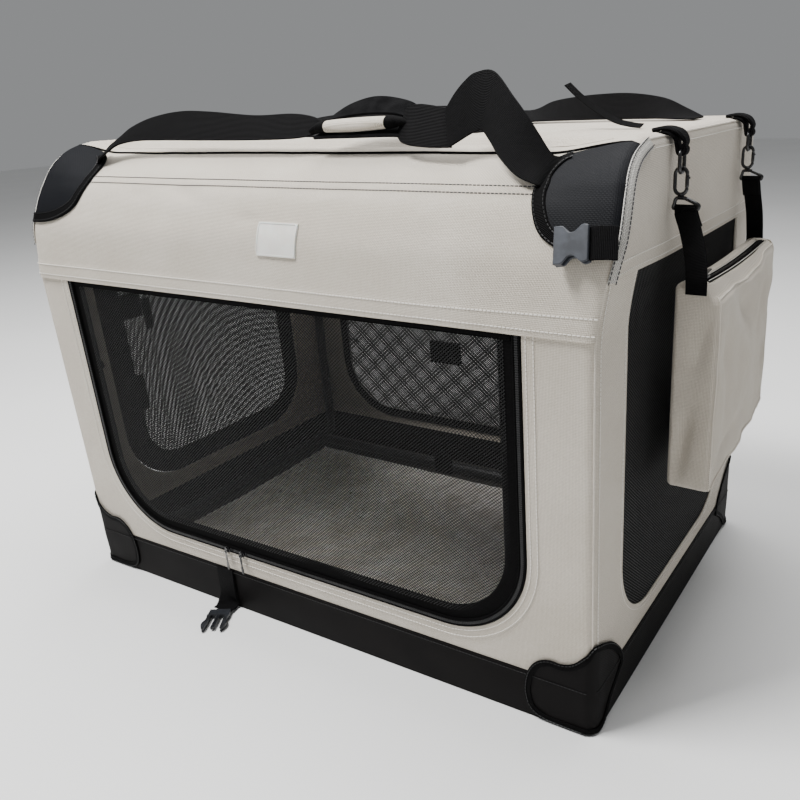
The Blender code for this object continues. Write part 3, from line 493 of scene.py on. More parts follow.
def growOnLines(name, lines, kind, **inputs):
    # lines of 3-D points become a plain mesh through one of the trees above
    verts, edges = [], []
    for line in lines:
        start = len(verts)
        verts += [tuple(p) for p in line]
        edges += [(start + k, start + k + 1) for k in range(len(line) - 1)]
    base = bpy.data.meshes.new(name + "Lines")
    base.from_pydata(verts, edges, [])
    carrier = showMesh(name + "Lines", base)
    worker = carrier.modifiers.new("grow", "NODES")
    worker.node_group = trees[kind]
    for item in trees[kind].interface.items_tree:
        if item.item_type == "SOCKET" and item.in_out == "INPUT" and item.name in inputs:
            worker[item.identifier] = inputs[item.name]
    bpy.context.view_layer.update()
    mesh = evaluatedMesh(carrier)
    carrier.modifiers.remove(worker)
    bpy.data.objects.remove(carrier)
    mesh.name = name
    return showMesh(name, mesh)


def evaluatedMesh(obj):
    seen = obj.evaluated_get(bpy.context.evaluated_depsgraph_get())
    return bpy.data.meshes.new_from_object(seen)


def clippedLines(outline, pitchU, pitchV, step=0.035, shortest=0.003):
    # two families of slanting lines across a closed outline, cut to it
    outline = np.array(outline, float)
    following = np.roll(outline, -1, axis=0)
    made = []
    for sign in (1, -1):
        ahead = np.array([pitchU, sign * pitchV]) / math.hypot(pitchU, pitchV)
        across = np.array([-ahead[1], ahead[0]])
        spacing = pitchU * abs(ahead[1])
        level, levelNext = outline @ across, following @ across
        for k in range(math.ceil(level.min() / spacing), math.floor(level.max() / spacing) + 1):
            at = (k + 0.5) * spacing
            cut = (level <= at) != (levelNext <= at)
            if not cut.any():
                continue
            share = (at - level[cut]) / (levelNext[cut] - level[cut])
            points = outline[cut] + (following[cut] - outline[cut]) * share[:, None]
            order = np.sort(points @ ahead)
            for low, high in zip(order[::2], order[1::2]):
                if high - low < shortest:
                    continue
                count = max(2, int((high - low) / step) + 2)
                made.append(ahead[None] * np.linspace(low, high, count)[:, None] + across[None] * at)
    return made


# fixing each piece to a body of the frame, with a mesh of its own where a fold is named, and hiding the CAD
# parts it replaces


def settle(obj, body, fold=None, replaces=()):
    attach(obj, body)
    if fold:
        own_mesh(obj)
    if replaces:
        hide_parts(*replaces)
    return obj


# finishes

waveScale = 0.31416  # a wave texture runs 20 radians for each unit, so this over the pitch is its scale


def surfacePoint(tree, kind="flat"):
    if kind == "flat":
        return addNode(tree, "ShaderNodeUVMap", uv_map="flat").outputs[0]
    return addNode(tree, "ShaderNodeTexCoord").outputs["Object"]


def noiseShade(tree, point, scale, detail, **more):
    return addNode(tree, "ShaderNodeTexNoise", {
        "Vector": point, "Scale": scale, "Detail": detail, **more}).outputs["Fac"]


def waveShade(tree, point, scale, direction, **more):
    return addNode(tree, "ShaderNodeTexWave", {
        "Vector": point, "Scale": scale, **more}, bands_direction=direction).outputs["Fac"]


def sumNode(tree, operation, *values, clamp=False):
    return addNode(tree, "ShaderNodeMath", dict(enumerate(values)), operation=operation,
                   use_clamp=clamp).outputs[0]


def paint(tree, shader, shade, dark, light, darkAt=0.0, lightAt=1.0, base=None):
    # base colour from a shade through a ramp, with one more colour half way where it is given
    ramp = addNode(tree, "ShaderNodeValToRGB", {0: shade})
    first, last = ramp.color_ramp.elements
    first.position, last.position = darkAt, lightAt
    first.color, last.color = hexColour(dark), hexColour(light)
    if base:
        ramp.color_ramp.elements.new(0.5).color = hexColour(base)
    tree.links.new(ramp.outputs[0], shader.inputs["Base Color"])


def raiseBump(tree, shader, height, strength, distance):
    bumped = addNode(tree, "ShaderNodeBump", {"Height": height, "Strength": strength, "Distance": distance})
    tree.links.new(bumped.outputs[0], shader.inputs["Normal"])


def wovenHeight(tree, point, pitch, slant=0.0):
    # plain weave: threads both ways, one over the other in turn; returns the height socket
    turned = addNode(tree, "ShaderNodeMapping", {"Vector": point, "Rotation": (0, 0, slant)}).outputs[0]
    warp, weft = (waveShade(tree, turned, waveScale / pitch, way) for way in ("X", "Y"))
    over = addNode(tree, "ShaderNodeTexChecker", {"Vector": turned, "Scale": 1 / pitch})
    return addNode(tree, "ShaderNodeMix", {
        "Factor": over.outputs["Fac"], 2: warp, 3: weft}, data_type="FLOAT").outputs[0]


def clothFinish(name, base, light, dark, pitch, bump=0.3, slant=0.0, mottle=0.25, thread=0.35, **sockets):
    # a woven cloth: thread pattern, slow shade changes, and a bump from both
    made, tree, shader = newFinish(name, **sockets)
    height = wovenHeight(tree, surfacePoint(tree), pitch, slant)
    solid = surfacePoint(tree, "solid")
    slow = noiseShade(tree, solid, 9.0, 3.0)
    fine = noiseShade(tree, solid, 420.0, 2.0)
    slowShade = addNode(tree, "ShaderNodeMapRange", {
        "Value": slow, "From Min": 0.3, "From Max": 0.7, "To Min": 0.5 - mottle, "To Max": 0.5 + mottle})
    threadShade = sumNode(tree, "MULTIPLY", height, thread)
    both = sumNode(tree, "ADD", slowShade.outputs[0], threadShade)
    speck = sumNode(tree, "MULTIPLY_ADD", fine, 0.3, both)
    shade = sumNode(tree, "SUBTRACT", speck, 0.15 + thread / 2, clamp=True)
    paint(tree, shader, shade, dark, light, base=base)
    raiseBump(tree, shader, sumNode(tree, "MULTIPLY_ADD", fine, 0.5, height), bump, pitch * 0.35)
    return made


def ribbedFinish(name, base, dark, rib, edgeRib, bump=0.6, **sockets):
    # woven tape or thread: ribs across it, finer threads along it; u is across and v along
    made, tree, shader = newFinish(name, **sockets)
    flat = surfacePoint(tree)
    ribs = waveShade(tree, flat, waveScale / rib, "Y", Distortion=0.3)
    threads = waveShade(tree, flat, waveScale / edgeRib, "X")
    fine = noiseShade(tree, surfacePoint(tree, "solid"), 300.0, 2.0)
    height = sumNode(tree, "MULTIPLY_ADD", threads, 0.35, ribs)
    paint(tree, shader, sumNode(tree, "MULTIPLY", fine, height, clamp=True), dark, base, 0.0, 0.75)
    raiseBump(tree, shader, height, bump, rib * 0.3)
    return made


def mouldedFinish(name, base, worn, grain, bump=0.12, low=0.32, high=0.5, **sockets):
    # moulded plastic, rubber or painted metal: fine grain, rubbed places a little lighter and smoother
    made, tree, shader = newFinish(name, **sockets)
    solid = surfacePoint(tree, "solid")
    wear = noiseShade(tree, solid, 60.0, 4.0)
    fine = noiseShade(tree, solid, 1 / grain, 2.0)
    paint(tree, shader, wear, base, worn, 0.4, 0.75)
    gloss = addNode(tree, "ShaderNodeMapRange", {
        "Value": wear, "From Min": 0.3, "From Max": 0.7, "To Min": high, "To Max": low})
    tree.links.new(gloss.outputs[0], shader.inputs["Roughness"])
    raiseBump(tree, shader, fine, bump, grain * 0.5)
    return made


def fleeceFinish():
    # brushed polyester fleece: pile 3 mm, mottled by the way it lies
    made, tree, shader = newFinish("brushed polyester fleece", Roughness=0.95, Sheen_Weight=0.6,
                                   Sheen_Roughness=0.4)
    solid = surfacePoint(tree, "solid")
    clump = noiseShade(tree, solid, 26.0, 5.0, Roughness=0.65)
    pile = noiseShade(tree, solid, 330.0, 3.0)
    mixed = sumNode(tree, "MULTIPLY_ADD", pile, 0.2, clump)
    paint(tree, shader, mixed, "#D6CEC0", "#FBF8F2", 0.4, 0.8)
    raiseBump(tree, shader, mixed, 0.45, 0.002)
    return made


print("finishes")

# Oxford polyester, coated inside: dull, with a visible basket weave. Real threads are 0.5 mm, drawn at 1.5 mm
oxford = clothFinish(
    "Oxford polyester canvas", "#C6BDAE", "#E2DBD0", "#9E9382", 0.0015, bump=0.6, mottle=0.1, thread=0.8,
    Roughness=0.86, Sheen_Weight=0.15, Sheen_Roughness=0.5)
# the same cloth's turned and stitched edges catch more light
oxfordHem = clothFinish(
    "Oxford polyester hem", "#D0C7B8", "#EAE4DA", "#A99F90", 0.0013, bump=0.7, mottle=0.1, thread=0.8,
    Roughness=0.84, Sheen_Weight=0.15)
# grey-white woven tape over the front seam of the end flap
seamTape = clothFinish(
    "woven polyester seam tape", "#BBB8B1", "#DFDCD6", "#85827C", 0.0021, bump=0.8, slant=0.785, thread=0.55,
    Roughness=0.8)
# nylon with a coated back: near black with a blue cast, smooth, a fine even grid
satinNylon = clothFinish(
    "coated nylon patch cloth", "#0A0B0F", "#111319", "#050608", 0.0018, bump=0.25, mottle=0.12, thread=0.3,
    Roughness=0.6, Specular_IOR_Level=0.1)
# PVC-coated polyester of the foot band: black, a soft gloss
bandCloth = clothFinish(
    "PVC coated polyester", "#0B0909", "#141110", "#060505", 0.0016, bump=0.16, mottle=0.2, thread=0.2,
    Roughness=0.6, Specular_IOR_Level=0.08)
# polypropylene webbing: black, ribs 1.5 mm, a slight shine on each
webbing = ribbedFinish(
    "polypropylene webbing", "#0B0A0C", "#020202", 0.0015, 0.0012, bump=0.8, Roughness=0.7,
    Specular_IOR_Level=0.08)
# narrow polyester binding, folded over an edge
binding = ribbedFinish(
    "polyester grosgrain binding", "#0A090A", "#020202", 0.0016, 0.0014, bump=0.7, Roughness=0.75,
    Specular_IOR_Level=0.06)
# warp-knitted polyester net yarn
netYarn = ribbedFinish(
    "polyester net yarn", "#1E1C1B", "#0A0A0A", 0.0012, 0.0008, bump=0.3, Roughness=0.6, Specular_IOR_Level=0.2,
    Sheen_Weight=0.25, Sheen_Roughness=0.4)
# zipper tape and its nylon coil
zipTape = ribbedFinish(
    "polyester zipper tape", "#0D0C0D", "#040404", 0.0012, 0.001, bump=0.5, Roughness=0.8,
    Specular_IOR_Level=0.06)
nylonCoil = mouldedFinish(
    "nylon zipper coil", "#0A0A0B", "#1A1A1C", 0.0008, bump=0.1, low=0.34, high=0.46, Specular_IOR_Level=0.4)
# polyester thread in the cloth's colour, in black and in grey. The pale thread is drawn pure white: its own
# pale colour with a painted highlight on top
paleThreadAndHighlight = ribbedFinish("pale polyester thread, painted highlight", "#FFFFFF", "#E4E0D8", 0.0006, 0.0006, bump=0.3,
                          Roughness=0.6)
blackThread = ribbedFinish("black polyester thread", "#19191B", "#0A0A0B", 0.0006, 0.0006, bump=0.3,
                           Roughness=0.55)
# the grey thread is drawn darker than its own grey: painted shade of the needle groove beside each stitch
greyThreadAndGrooveShade = ribbedFinish("grey polyester thread, painted groove shade", "#5A585B", "#2E2D30", 0.0006, 0.0006, bump=0.3,
                          Roughness=0.6)
# acetal buckle: satin, slate grey, edges rubbed lighter
acetal = mouldedFinish(
    "moulded acetal, slate grey", "#272A30", "#43474F", 0.0009, bump=0.15, low=0.42, high=0.56,
    Specular_IOR_Level=0.4)
# the pronged half is moulded nearly black
blackAcetal = mouldedFinish(
    "moulded acetal, charcoal", "#121316", "#26282D", 0.0009, bump=0.12, low=0.36, high=0.5,
    Specular_IOR_Level=0.35)
# zinc die castings with black paint
paintedZinc = mouldedFinish(
    "zinc casting, black paint", "#060607", "#141417", 0.0012, bump=0.08, low=0.2, high=0.34,
    Specular_IOR_Level=0.6)
# nickel-plated zinc of one slider's pull tab
nickelZinc = mouldedFinish(
    "zinc casting, nickel plated", "#454443", "#878684", 0.001, bump=0.1, low=0.22, high=0.38, Metallic=1.0)
# steel tube with a black powder coat
powderSteel = mouldedFinish(
    "steel tube, black powder coat", "#0C0C0E", "#1A1B1E", 0.0011, bump=0.25, low=0.42, high=0.56)
# glass-filled nylon knee knuckles
filledNylon = mouldedFinish("glass-filled nylon", "#0A0A0B", "#161618", 0.0014, bump=0.3, low=0.5, high=0.64)
# soft PVC badge, milky
softPvc = mouldedFinish(
    "soft PVC, milky", "#DEDBD4", "#EAE8E2", 0.0012, bump=0.05, low=0.34, high=0.48, Subsurface_Weight=0.15,
    Subsurface_Scale=0.004)
# hook-and-loop tape: a dull black pile
loopPile = mouldedFinish(
    "nylon hook and loop pile", "#070708", "#111112", 0.0011, bump=1.0, low=0.8, high=0.95,
    Specular_IOR_Level=0.06)
# the floor mat's pile and the stiff board under it
fleece = fleeceFinish()
fibreboard = mouldedFinish("grey fibreboard", "#26241F", "#33302A", 0.002, bump=0.3, low=0.75, high=0.9)


# the cover's cloth panels


def holePairs(hole, outer, openTop, step=0.008, turnSteps=16):
    # matching points round a rounded hole and along the panel's outer edge
    left, right, low, high, radius = hole
    outLeft, outRight, outLow, outHigh = outer
    pairs = []

    def between(p, q, f):
        return np.array(p) * (1 - f) + np.array(q) * f

    def side(p, q, pOut, qOut):
        count = max(1, int(math.dist(p, q) / step))
        for f in np.arange(count) / count:
            pairs.append([*between(p, q, f), *between(pOut, qOut, f)])

    def turn(centre, start, before, corner, after):
        for f in np.arange(turnSteps) / turnSteps:
            at = math.radians(start + 90 * f)
            p = (centre[0] + radius * math.cos(at), centre[1] + radius * math.sin(at))
            a, b, g = (before, corner, 2 * f) if f < 0.5 else (corner, after, 2 * f - 1)
            pairs.append([*p, *between(a, b, g)])

    inLeft, inRight, inLow, inHigh = left + radius, right - radius, low + radius, high - radius
    start = high if openTop else inHigh
    side((left, start), (left, inLow), (outLeft, start), (outLeft, inLow))
    turn((inLeft, inLow), 180, (outLeft, inLow), (outLeft, outLow), (inLeft, outLow))
    side((inLeft, low), (inRight, low), (inLeft, outLow), (inRight, outLow))
    turn((inRight, inLow), 270, (inRight, outLow), (outRight, outLow), (outRight, inLow))
    side((right, inLow), (right, start), (outRight, inLow), (outRight, start))
    if openTop:
        pairs.append([right, start, outRight, start])
    else:
        turn((inRight, inHigh), 0, (outRight, inHigh), (outRight, outHigh), (inRight, outHigh))
        side((inRight, high), (inLeft, high), (inRight, outHigh), (inLeft, outHigh))
        turn((inLeft, inHigh), 90, (inLeft, outHigh), (outLeft, outHigh), (outLeft, inHigh))
    pairs = np.array(pairs)
    return pairs[:, :2], pairs[:, 2:]


def holePath(hole, openTop, by=0.0, step=0.006):
    # the hole's own edge, drawn in by a distance
    left, right, low, high, radius = hole
    shrunk = (left + by, right - by, low + by, high if openTop else high - by, radius - by)
    return holePairs(shrunk, (left - 1, right + 1, low - 1, high + 1), openTop, step, 14)[0]


edgeShares = np.array([0, 0.02, 0.05, 0.09, 0.13, 0.18, 0.25, 0.33, 0.42, 0.52, 0.62, 0.72, 0.82, 0.91, 0.97,
                       1.0])


def loftTo(inner, edge):
    made = edge[None] + (inner - edge)[None] * edgeShares[:, None, None]
    return made[:, :, 0], made[:, :, 1]


def panelAround(face, hole, outer, openTop, seed, swell, followSlope=False):
    # a wall panel as a loft from its outer edge to the edge of its door or window
    inner, edge = holePairs(hole, outer, openTop)
    if followSlope:
        atFront = np.isclose(edge[:, 0], outer[0])
        edge[atFront, 0] = frontEdge(edge[atFront, 1])
    u, v = loftTo(inner, edge)
    wide = np.linalg.norm(inner - edge, axis=1)[None, :]
    held = easeIn(wide * edgeShares[:, None], 0.03) * easeIn(wide * (1 - edgeShares[:, None]) + 0.004, 0.03)
    out = swell * (noiseField(u, v, seed, 0.085, 1.5) + 0.35 * noiseField(u, v, seed + 7, 0.03, 1.8)) * held
    # the edge of the hole is turned under and stitched, so it stands a little proud
    out = out + 0.0005 * easeIn(edgeShares[:, None] - 0.78, 0.1)
    return facePart(face, u, v, out, crate["clothThickness"], not openTop)


def creasesAt(u, v, rows):
    # soft dents along short lines, each with its sign, start, end, width and depth
    total = 0
    for sign, start, end, width, depth in rows:
        start, end = np.array(start), np.array(end)
        along = end - start
        share = np.clip(((u - start[0]) * along[0] + (v - start[1]) * along[1]) / np.dot(along, along), 0, 1)
        gap = np.hypot(u - start[0] - along[0] * share, v - start[1] - along[1] * share)
        fade = np.sin(np.pi * np.clip(share, 0.08, 0.92))
        total = total + sign * depth * fade * np.exp(-((gap / width) ** 2))
    return total


stitching = {"pitch": 0.0044, "length": 0.003, "radius": 0.00052, "lift": 0.0002}
stitchLines = {}


def stitch(group, face, path, out, closed=False, step=0.006):
    # collects a line of stitches; each group becomes one piece later
    path = evenLine(closeLine(path) if closed else path, step)
    out = out(path[:, 0], path[:, 1]) if callable(out) else out
    stitchLines.setdefault(group, []).append(onSkin(face, path, out + stitching["lift"]))


# where each wall's opening is: left, right, low, high, corner radius
doorHole, endHole = (-0.342, 0.33, 0.088, 0.4435, 0.11), (-0.19, 0.19, 0.085, 0.4865, 0.09)
backHole, roofHole = (-0.33, 0.33, 0.088, 0.5, 0.09), (-0.33, 0.16, -0.105, 0.1, 0.04)

print("walls")
frontWallSize = {"outer": (-hw, hw, foot, 0.4435), "seed": 3.1, "swell": 0.0011}
part = panelAround(onFront, doorHole, openTop=True, **frontWallSize)
frontWall = settle(joinParts("front_wall_cloth", [part], oxford), "base", "wall", ["front_panel"])

endWallSize = {"outer": (-hd, hd, foot, 0.4865), "swell": 0.0013}
for word, face, seed in (("right", onRight, 8.4), ("left", onLeft, 12.7)):
    part = panelAround(face, endHole, openTop=True, seed=seed, followSlope=True, **endWallSize)
    wall = settle(joinParts(word + "_wall_cloth", [part], oxford), "base", "wall", [word + "_panel"])

backWallSize = {"outer": (-hw, hw, foot, top), "seed": 17.2, "swell": 0.0012}
part = panelAround(onBack, backHole, openTop=False, **backWallSize)
backWall = settle(joinParts("back_wall_cloth", [part], oxford), "base", "wall", ["back_panel"])

# the front flap: its dents are given by u and by the height on the slope
frontFlapSize = {
    "low": 0.4405, "step": 0.0052, "thickness": 0.0015, "seams": (slopeAt(0.573), slopeAt(0.564)),
    "hemRows": [0.4565, 0.4595, 0.4625], "slow": 0.0015, "quick": 0.0005, "pucker": 0.0003, "ridge": 0.0004,
    "dents": [
        (-1, (-0.035, 0.5305), (0.004, 0.529), 0.0045, 0.0016),
        (-1, (-0.16, 0.56), (-0.085, 0.545), 0.011, 0.0026),
        (-1, (-0.235, 0.552), (-0.175, 0.548), 0.009, 0.0014), (-1, (0.02, 0.588), (0.035, 0.6), 0.004, 0.0013),
        (1, (0.05, 0.545), (0.12, 0.556), 0.008, 0.001), (-1, (0.21, 0.545), (0.25, 0.47), 0.016, 0.0016),
        (-1, (-0.36, 0.5), (-0.3, 0.462), 0.014, 0.0014), (1, (0.315, 0.5), (0.365, 0.455), 0.013, 0.0013)],
}
flapSeams = frontFlapSize["seams"]
frontFlapDents = [(sign, (a, slopeAt(b)), (c, slopeAt(d)), width, depth)
                  for sign, (a, b), (c, d), width, depth in frontFlapSize["dents"]]


def frontFlapOut(u, v):
    # how far the front flap stands off: a doubled hem, two stitched lines near the roof and soft dents
    lineOne, lineTwo = flapSeams
    hemRise = 0.0016 * (1 - easeIn(v - 0.444, 0.07)) + 0.0006 * (1 - easeIn(v - 0.4595, 0.003))
    ends = easeIn(hw - np.abs(u), 0.035)
    slow = noiseField(u, v, 21.3, 0.16, 0.7)
    quick = noiseField(u, v, 25.9, 0.045, 0.8)
    near = sum(np.exp(-((v - at) / reach) ** 2)
               for at, reach in ((0.4615, 0.007), (0.4475, 0.005), (lineOne, 0.005), (lineTwo, 0.005)))
    pucker = noiseField(u, v, 31.4, 0.011, 3.0) * near
    ridge = easeIn(v - lineTwo + 0.001, 0.002) * (1 - easeIn(v - lineOne - 0.001, 0.002))
    out = hemRise + ends * (frontFlapSize["slow"] * slow + frontFlapSize["quick"] * quick)
    out = out + frontFlapSize["pucker"] * pucker + frontFlapSize["ridge"] * ridge
    return out + creasesAt(u, v, frontFlapDents)


def nearEdges(length, fine=(0, 0.0012, 0.003, 0.0055, 0.0085, 0.012), step=0.007):
    # positions along a span, close together where the skin turns a corner
    fine = np.array(fine)
    last = length - fine[::-1]
    count = max(2, int((last[0] - fine[-1]) / step))
    return np.concatenate([fine, np.linspace(fine[-1], last[0], count + 1)[1:-1], last])


flapLow, flapTop = frontFlapSize["low"], crate["frontHem"] + slopeLength
across = nearEdges(2 * hw, step=frontFlapSize["step"]) - hw
up = np.unique(np.concatenate([np.linspace(flapLow, flapTop, 44), frontFlapSize["hemRows"], flapSeams]))
u, v = np.meshgrid(across, up)
part = facePart(onFront, u, v, frontFlapOut(u, v), frontFlapSize["thickness"])
frontFlap = settle(joinParts("front_flap_cloth", [part], oxford), "front_hem", "front_hem",
                   ["front_flap"])

# the end flaps: the loops, given by y and lean, pull folds down from the roof's edge
endFlapSize = {"thickness": 0.0014, "soft": 0.0016, "loops": ((-0.085, -0.035), (0.18, 0.02)),
               "seeds": {"right": 41.3, "left": 47.9}}


def endFlapOut(u, v, seed):
    held = easeIn(u - frontEdge(v), 0.04) * easeIn(hd - u, 0.03) * easeIn(top - v, 0.02)
    hem = 0.0013 * (1 - easeIn(v - crate["endHem"], 0.05)) + 0.0005 * (1 - easeIn(v - 0.499, 0.003))
    out = hem + endFlapSize["soft"] * noiseField(u, v, seed, 0.1, 1.2) * held
    for y, lean in endFlapSize["loops"]:
        out = out + held * creasesAt(u, v, [
            (1, (y, 0.598), (y + lean, 0.505), 0.012, 0.0016),
            (-1, (y + 0.012, 0.596), (y + lean + 0.022, 0.515), 0.01, 0.0015)])
    return out


def endFlapPart(face, seed):
    rows = np.unique(np.concatenate([
        np.linspace(0.484, 0.56, 16), np.linspace(0.56, 0.605, 20), [0.4985, 0.5015]]))
    shares = nearEdges(1.0, (0, 0.003, 0.008, 0.014, 0.022, 0.031, 0.042), 0.018)
    front = frontEdge(rows)
    u = front[:, None] + (hd - front)[:, None] * shares[None, :]
    v = np.repeat(rows[:, None], len(shares), axis=1)
    return facePart(face, u, v, endFlapOut(u, v, seed), endFlapSize["thickness"])


rightFlap = settle(joinParts("right_flap_cloth", [endFlapPart(onRight, endFlapSize["seeds"]["right"])], oxford),
                   "base", "wall", ["right_flap"])
leftFlap = settle(joinParts("left_flap_cloth", [endFlapPart(onLeft, endFlapSize["seeds"]["left"])], oxford),
                  "left_hem", "left_hem", ["left_flap"])

print("roof")
roofSize = {"front": -0.1495, "thickness": 0.0014, "sag": 0.002, "ripple": 0.0009}


def roofOut(u, v):
    # the roof hangs a little between the two rails and is drawn tight over them
    held = easeIn(hw - np.abs(u), 0.05) * easeIn(hd - v, 0.04) * easeIn(v + 0.15, 0.04)
    sag = -roofSize["sag"] * np.sin(np.pi * np.clip((v + 0.135) / 0.32, 0, 1)) * held
    return sag + roofSize["ripple"] * noiseField(u, v, 55.5, 0.12, 0.6) * held


u, v = loftTo(*holePairs(roofHole, (-hw, hw, roofSize["front"], hd), False))
roofCloth = settle(joinParts("roof_cloth", [facePart(onRoof, u, v, roofOut(u, v), roofSize["thickness"], True)],
                             oxford), "top_frame", None, ["top_panel"])

print("foot band and mat")
bandSize = {"bulge": 0.0008, "swell": 0.0009, "thickness": 0.0018, "out": 0.0006, "hem": 0.0006,
            "hemFrom": 0.054}


def bandRing(step):
    # once round the foot of the crate as sharp points: x, y
    corners = [(-hw, -hd), (hw, -hd), (hw, hd), (-hw, hd), (-hw, -hd)]
    made = []
    for (ax, ay), (bx, by) in zip(corners, corners[1:]):
        long = math.dist((ax, ay), (bx, by))
        for s in nearEdges(long, (0, 0.0015, 0.004, 0.007, 0.0105, 0.014), step)[:-1]:
            made.append((ax + (bx - ax) * s / long, ay + (by - ay) * s / long))
    return np.array(made)


def footBandPart():
    ring = bandRing(0.009)
    heights = np.array([0.0006, 0.004, 0.01, 0.018, 0.027, 0.036, 0.045, 0.052, 0.057, 0.0595, 0.0605])
    u, v = np.meshgrid(runOf(ring), heights)
    sharp = np.column_stack([np.tile(ring, (len(heights), 1)), v.ravel()])
    middle = np.sin(np.pi * v / crate["bandTop"])
    bulge = bandSize["bulge"] * middle + bandSize["swell"] * noiseField(u, v, 61.0, 0.05, 0.9) * middle
    lift = (bandSize["out"] + bulge + bandSize["hem"] * (v > bandSize["hemFrom"])).ravel()
    verts, faces = thicken(skin(sharp, lift), skin(sharp, lift - bandSize["thickness"]),
                           gridFaces(len(heights), len(ring), True))
    flat = np.column_stack([u.ravel(), v.ravel()])
    return orderedPart((verts, faces, np.vstack([flat, flat])))


footBand = settle(joinParts("foot_band", [footBandPart()], bandCloth), "base", None, ["base_band"])


def onCorner(signX, signY):
    # the foot of the crate round one corner: u is the way round it, less than zero on the front or back
    def face(u, v):
        return placed(signX * (hw + np.minimum(u, 0)), signY * (hd - np.maximum(u, 0)), v)
    return face


# the doubled patch over each lower corner: way round the corner, upper edge and lower edge
cornerPatch = {
    "upper": [(-0.078, 0.04), (-0.0745, 0.058), (-0.066, 0.073), (-0.052, 0.0815), (-0.036, 0.0815),
              (-0.02, 0.088), (-0.006, 0.103), (0.0, 0.111), (0.008, 0.1125), (0.024, 0.1045), (0.041, 0.094),
              (0.058, 0.078), (0.07, 0.062), (0.0735, 0.052)],
    "lower": [(-0.078, 0.034), (-0.073, 0.016), (-0.06, 0.0075), (-0.04, 0.0056), (-0.018, 0.0053),
              (0.0, 0.0053), (0.016, 0.0055), (0.026, 0.01), (0.04, 0.026), (0.054, 0.037), (0.068, 0.046),
              (0.0735, 0.0485)],
    "reach": (-0.078, 0.0735), "bend": [-0.009, -0.006, -0.003, -0.001, 0.0, 0.001, 0.003, 0.006, 0.009],
    "out": 0.0019, "soft": 0.0006, "thickness": 0.0012, "edge": 0.008, "edgeRise": 0.0009,
}
lowerCorners = (("front_right", 1, -1), ("front_left", -1, -1), ("back_right", 1, 1), ("back_left", -1, 1))


def loftBetween(across, low, high, rows):
    # a grid between two curves over the same across
    u, shares = np.meshgrid(across, np.linspace(0, 1, rows))
    return u, low[None] + (high - low)[None] * shares


def cornerPatchPart(face):
    across = np.unique(np.concatenate([np.linspace(*cornerPatch["reach"], 44), cornerPatch["bend"]]))
    high, low = (np.interp(across, *smoothLine(cornerPatch[side], 6).T) for side in ("upper", "lower"))
    u, v = loftBetween(across, low, high, 16)
    soft = cornerPatch["soft"] * noiseField(u, v, 71.0, 0.03)
    return facePart(face, u, v, cornerPatch["out"] + soft, cornerPatch["thickness"])


def cornerPatchEdge():
    upper, lower = smoothLine(cornerPatch["upper"], 5), smoothLine(cornerPatch["lower"], 5)
    return evenLine(np.vstack([lower[::-1], upper[1:-1]]), 0.004)


for name, signX, signY in lowerCorners:
    face = onCorner(signX, signY)
    patch = settle(joinParts("lower_patch_" + name, [cornerPatchPart(face)], bandCloth), "base")
    part = ribbonPart(face, cornerPatchEdge(), cornerPatch["edge"], cornerPatch["out"] + 0.0003,
                      cornerPatch["edgeRise"], True)
    settle(joinParts("lower_patch_edge_" + name, [part], binding), "base")


# nets, their edges and the zippers

# diamond net, given by its cells and its yarn's half width. The yarn is 0.9 mm wide in the front door and the
# hatch, 1.5 mm in the right window, and pressed flat in the left door and the back window: 2.2 by 0.24 mm
net = {"pitchU": 0.0044, "pitchV": 0.0038, "strand": 0.00044, "window": 0.00076, "flat": (0.0011, 0.00012),
       "noiseSize": 0.13}


def netPiece(name, face, outline, out, radius, across=None):
    # across is the axis that a close-knitted net faces: its yarn is pressed flat, one way of it over the other
    lines = []
    for line in clippedLines(outline, net["pitchU"], net["pitchV"]):
        rising = (line[-1] - line[0]).prod() > 0
        lift = 0 if across is None else net["flat"][1] * (1 if rising else -1)
        lines.append(onSkin(face, line, out(line[:, 0], line[:, 1]) + lift))
    grown = growOnLines(name, lines, "strand", Radius=radius, Yarn=netYarn)
    if across is not None:
        places = np.array([v.co for v in grown.data.vertices]).reshape(-1, 4, 3)
        middle = places.mean(axis=1, keepdims=True)
        spread = places - middle
        thin = spread * np.eye(3)[across]
        wide = spread - thin
        thin *= net["flat"][1] / np.abs(thin).max(axis=(1, 2), keepdims=True)
        wide *= net["flat"][0] / np.linalg.norm(wide, axis=2).max(axis=1)[:, None, None]
        grown.data.vertices.foreach_set("co", (middle + thin + wide).ravel())
        grown.data.update()
    return grown


def netOut(seed, bulge, level=-0.0008):
    return lambda u, v: level + bulge * noiseField(u, v, seed, net["noiseSize"])


print("nets")
# pads: left, right, low and high of the narrow webs on the net
frontDoorNet = {"inset": 0.02, "edge": 0.022, "bulge": 0.001, "hem": 0.4385, "below": 0.4436,
                "pads": [(0.2246, 0.2615, 0.401, 0.423), (0.2208, 0.2426, 0.279, 0.319)]}
endDoorNet = {"inset": 0.018, "edge": 0.031, "bulge": 0.0012, "hem": 0.479,
              "pads": [(-0.1595, -0.121, 0.352, 0.389), (-0.119, -0.105, 0.329, 0.376),
                       (-0.155, -0.141, 0.208, 0.264)]}
edgeInset = 0.0055


def padParts(face, pads, out):
    return [ribbonPart(face, straight(((a + b) / 2, low), ((a + b) / 2, high), 0.004), b - a, out, 0.0018)
            for a, b, low, high in pads]


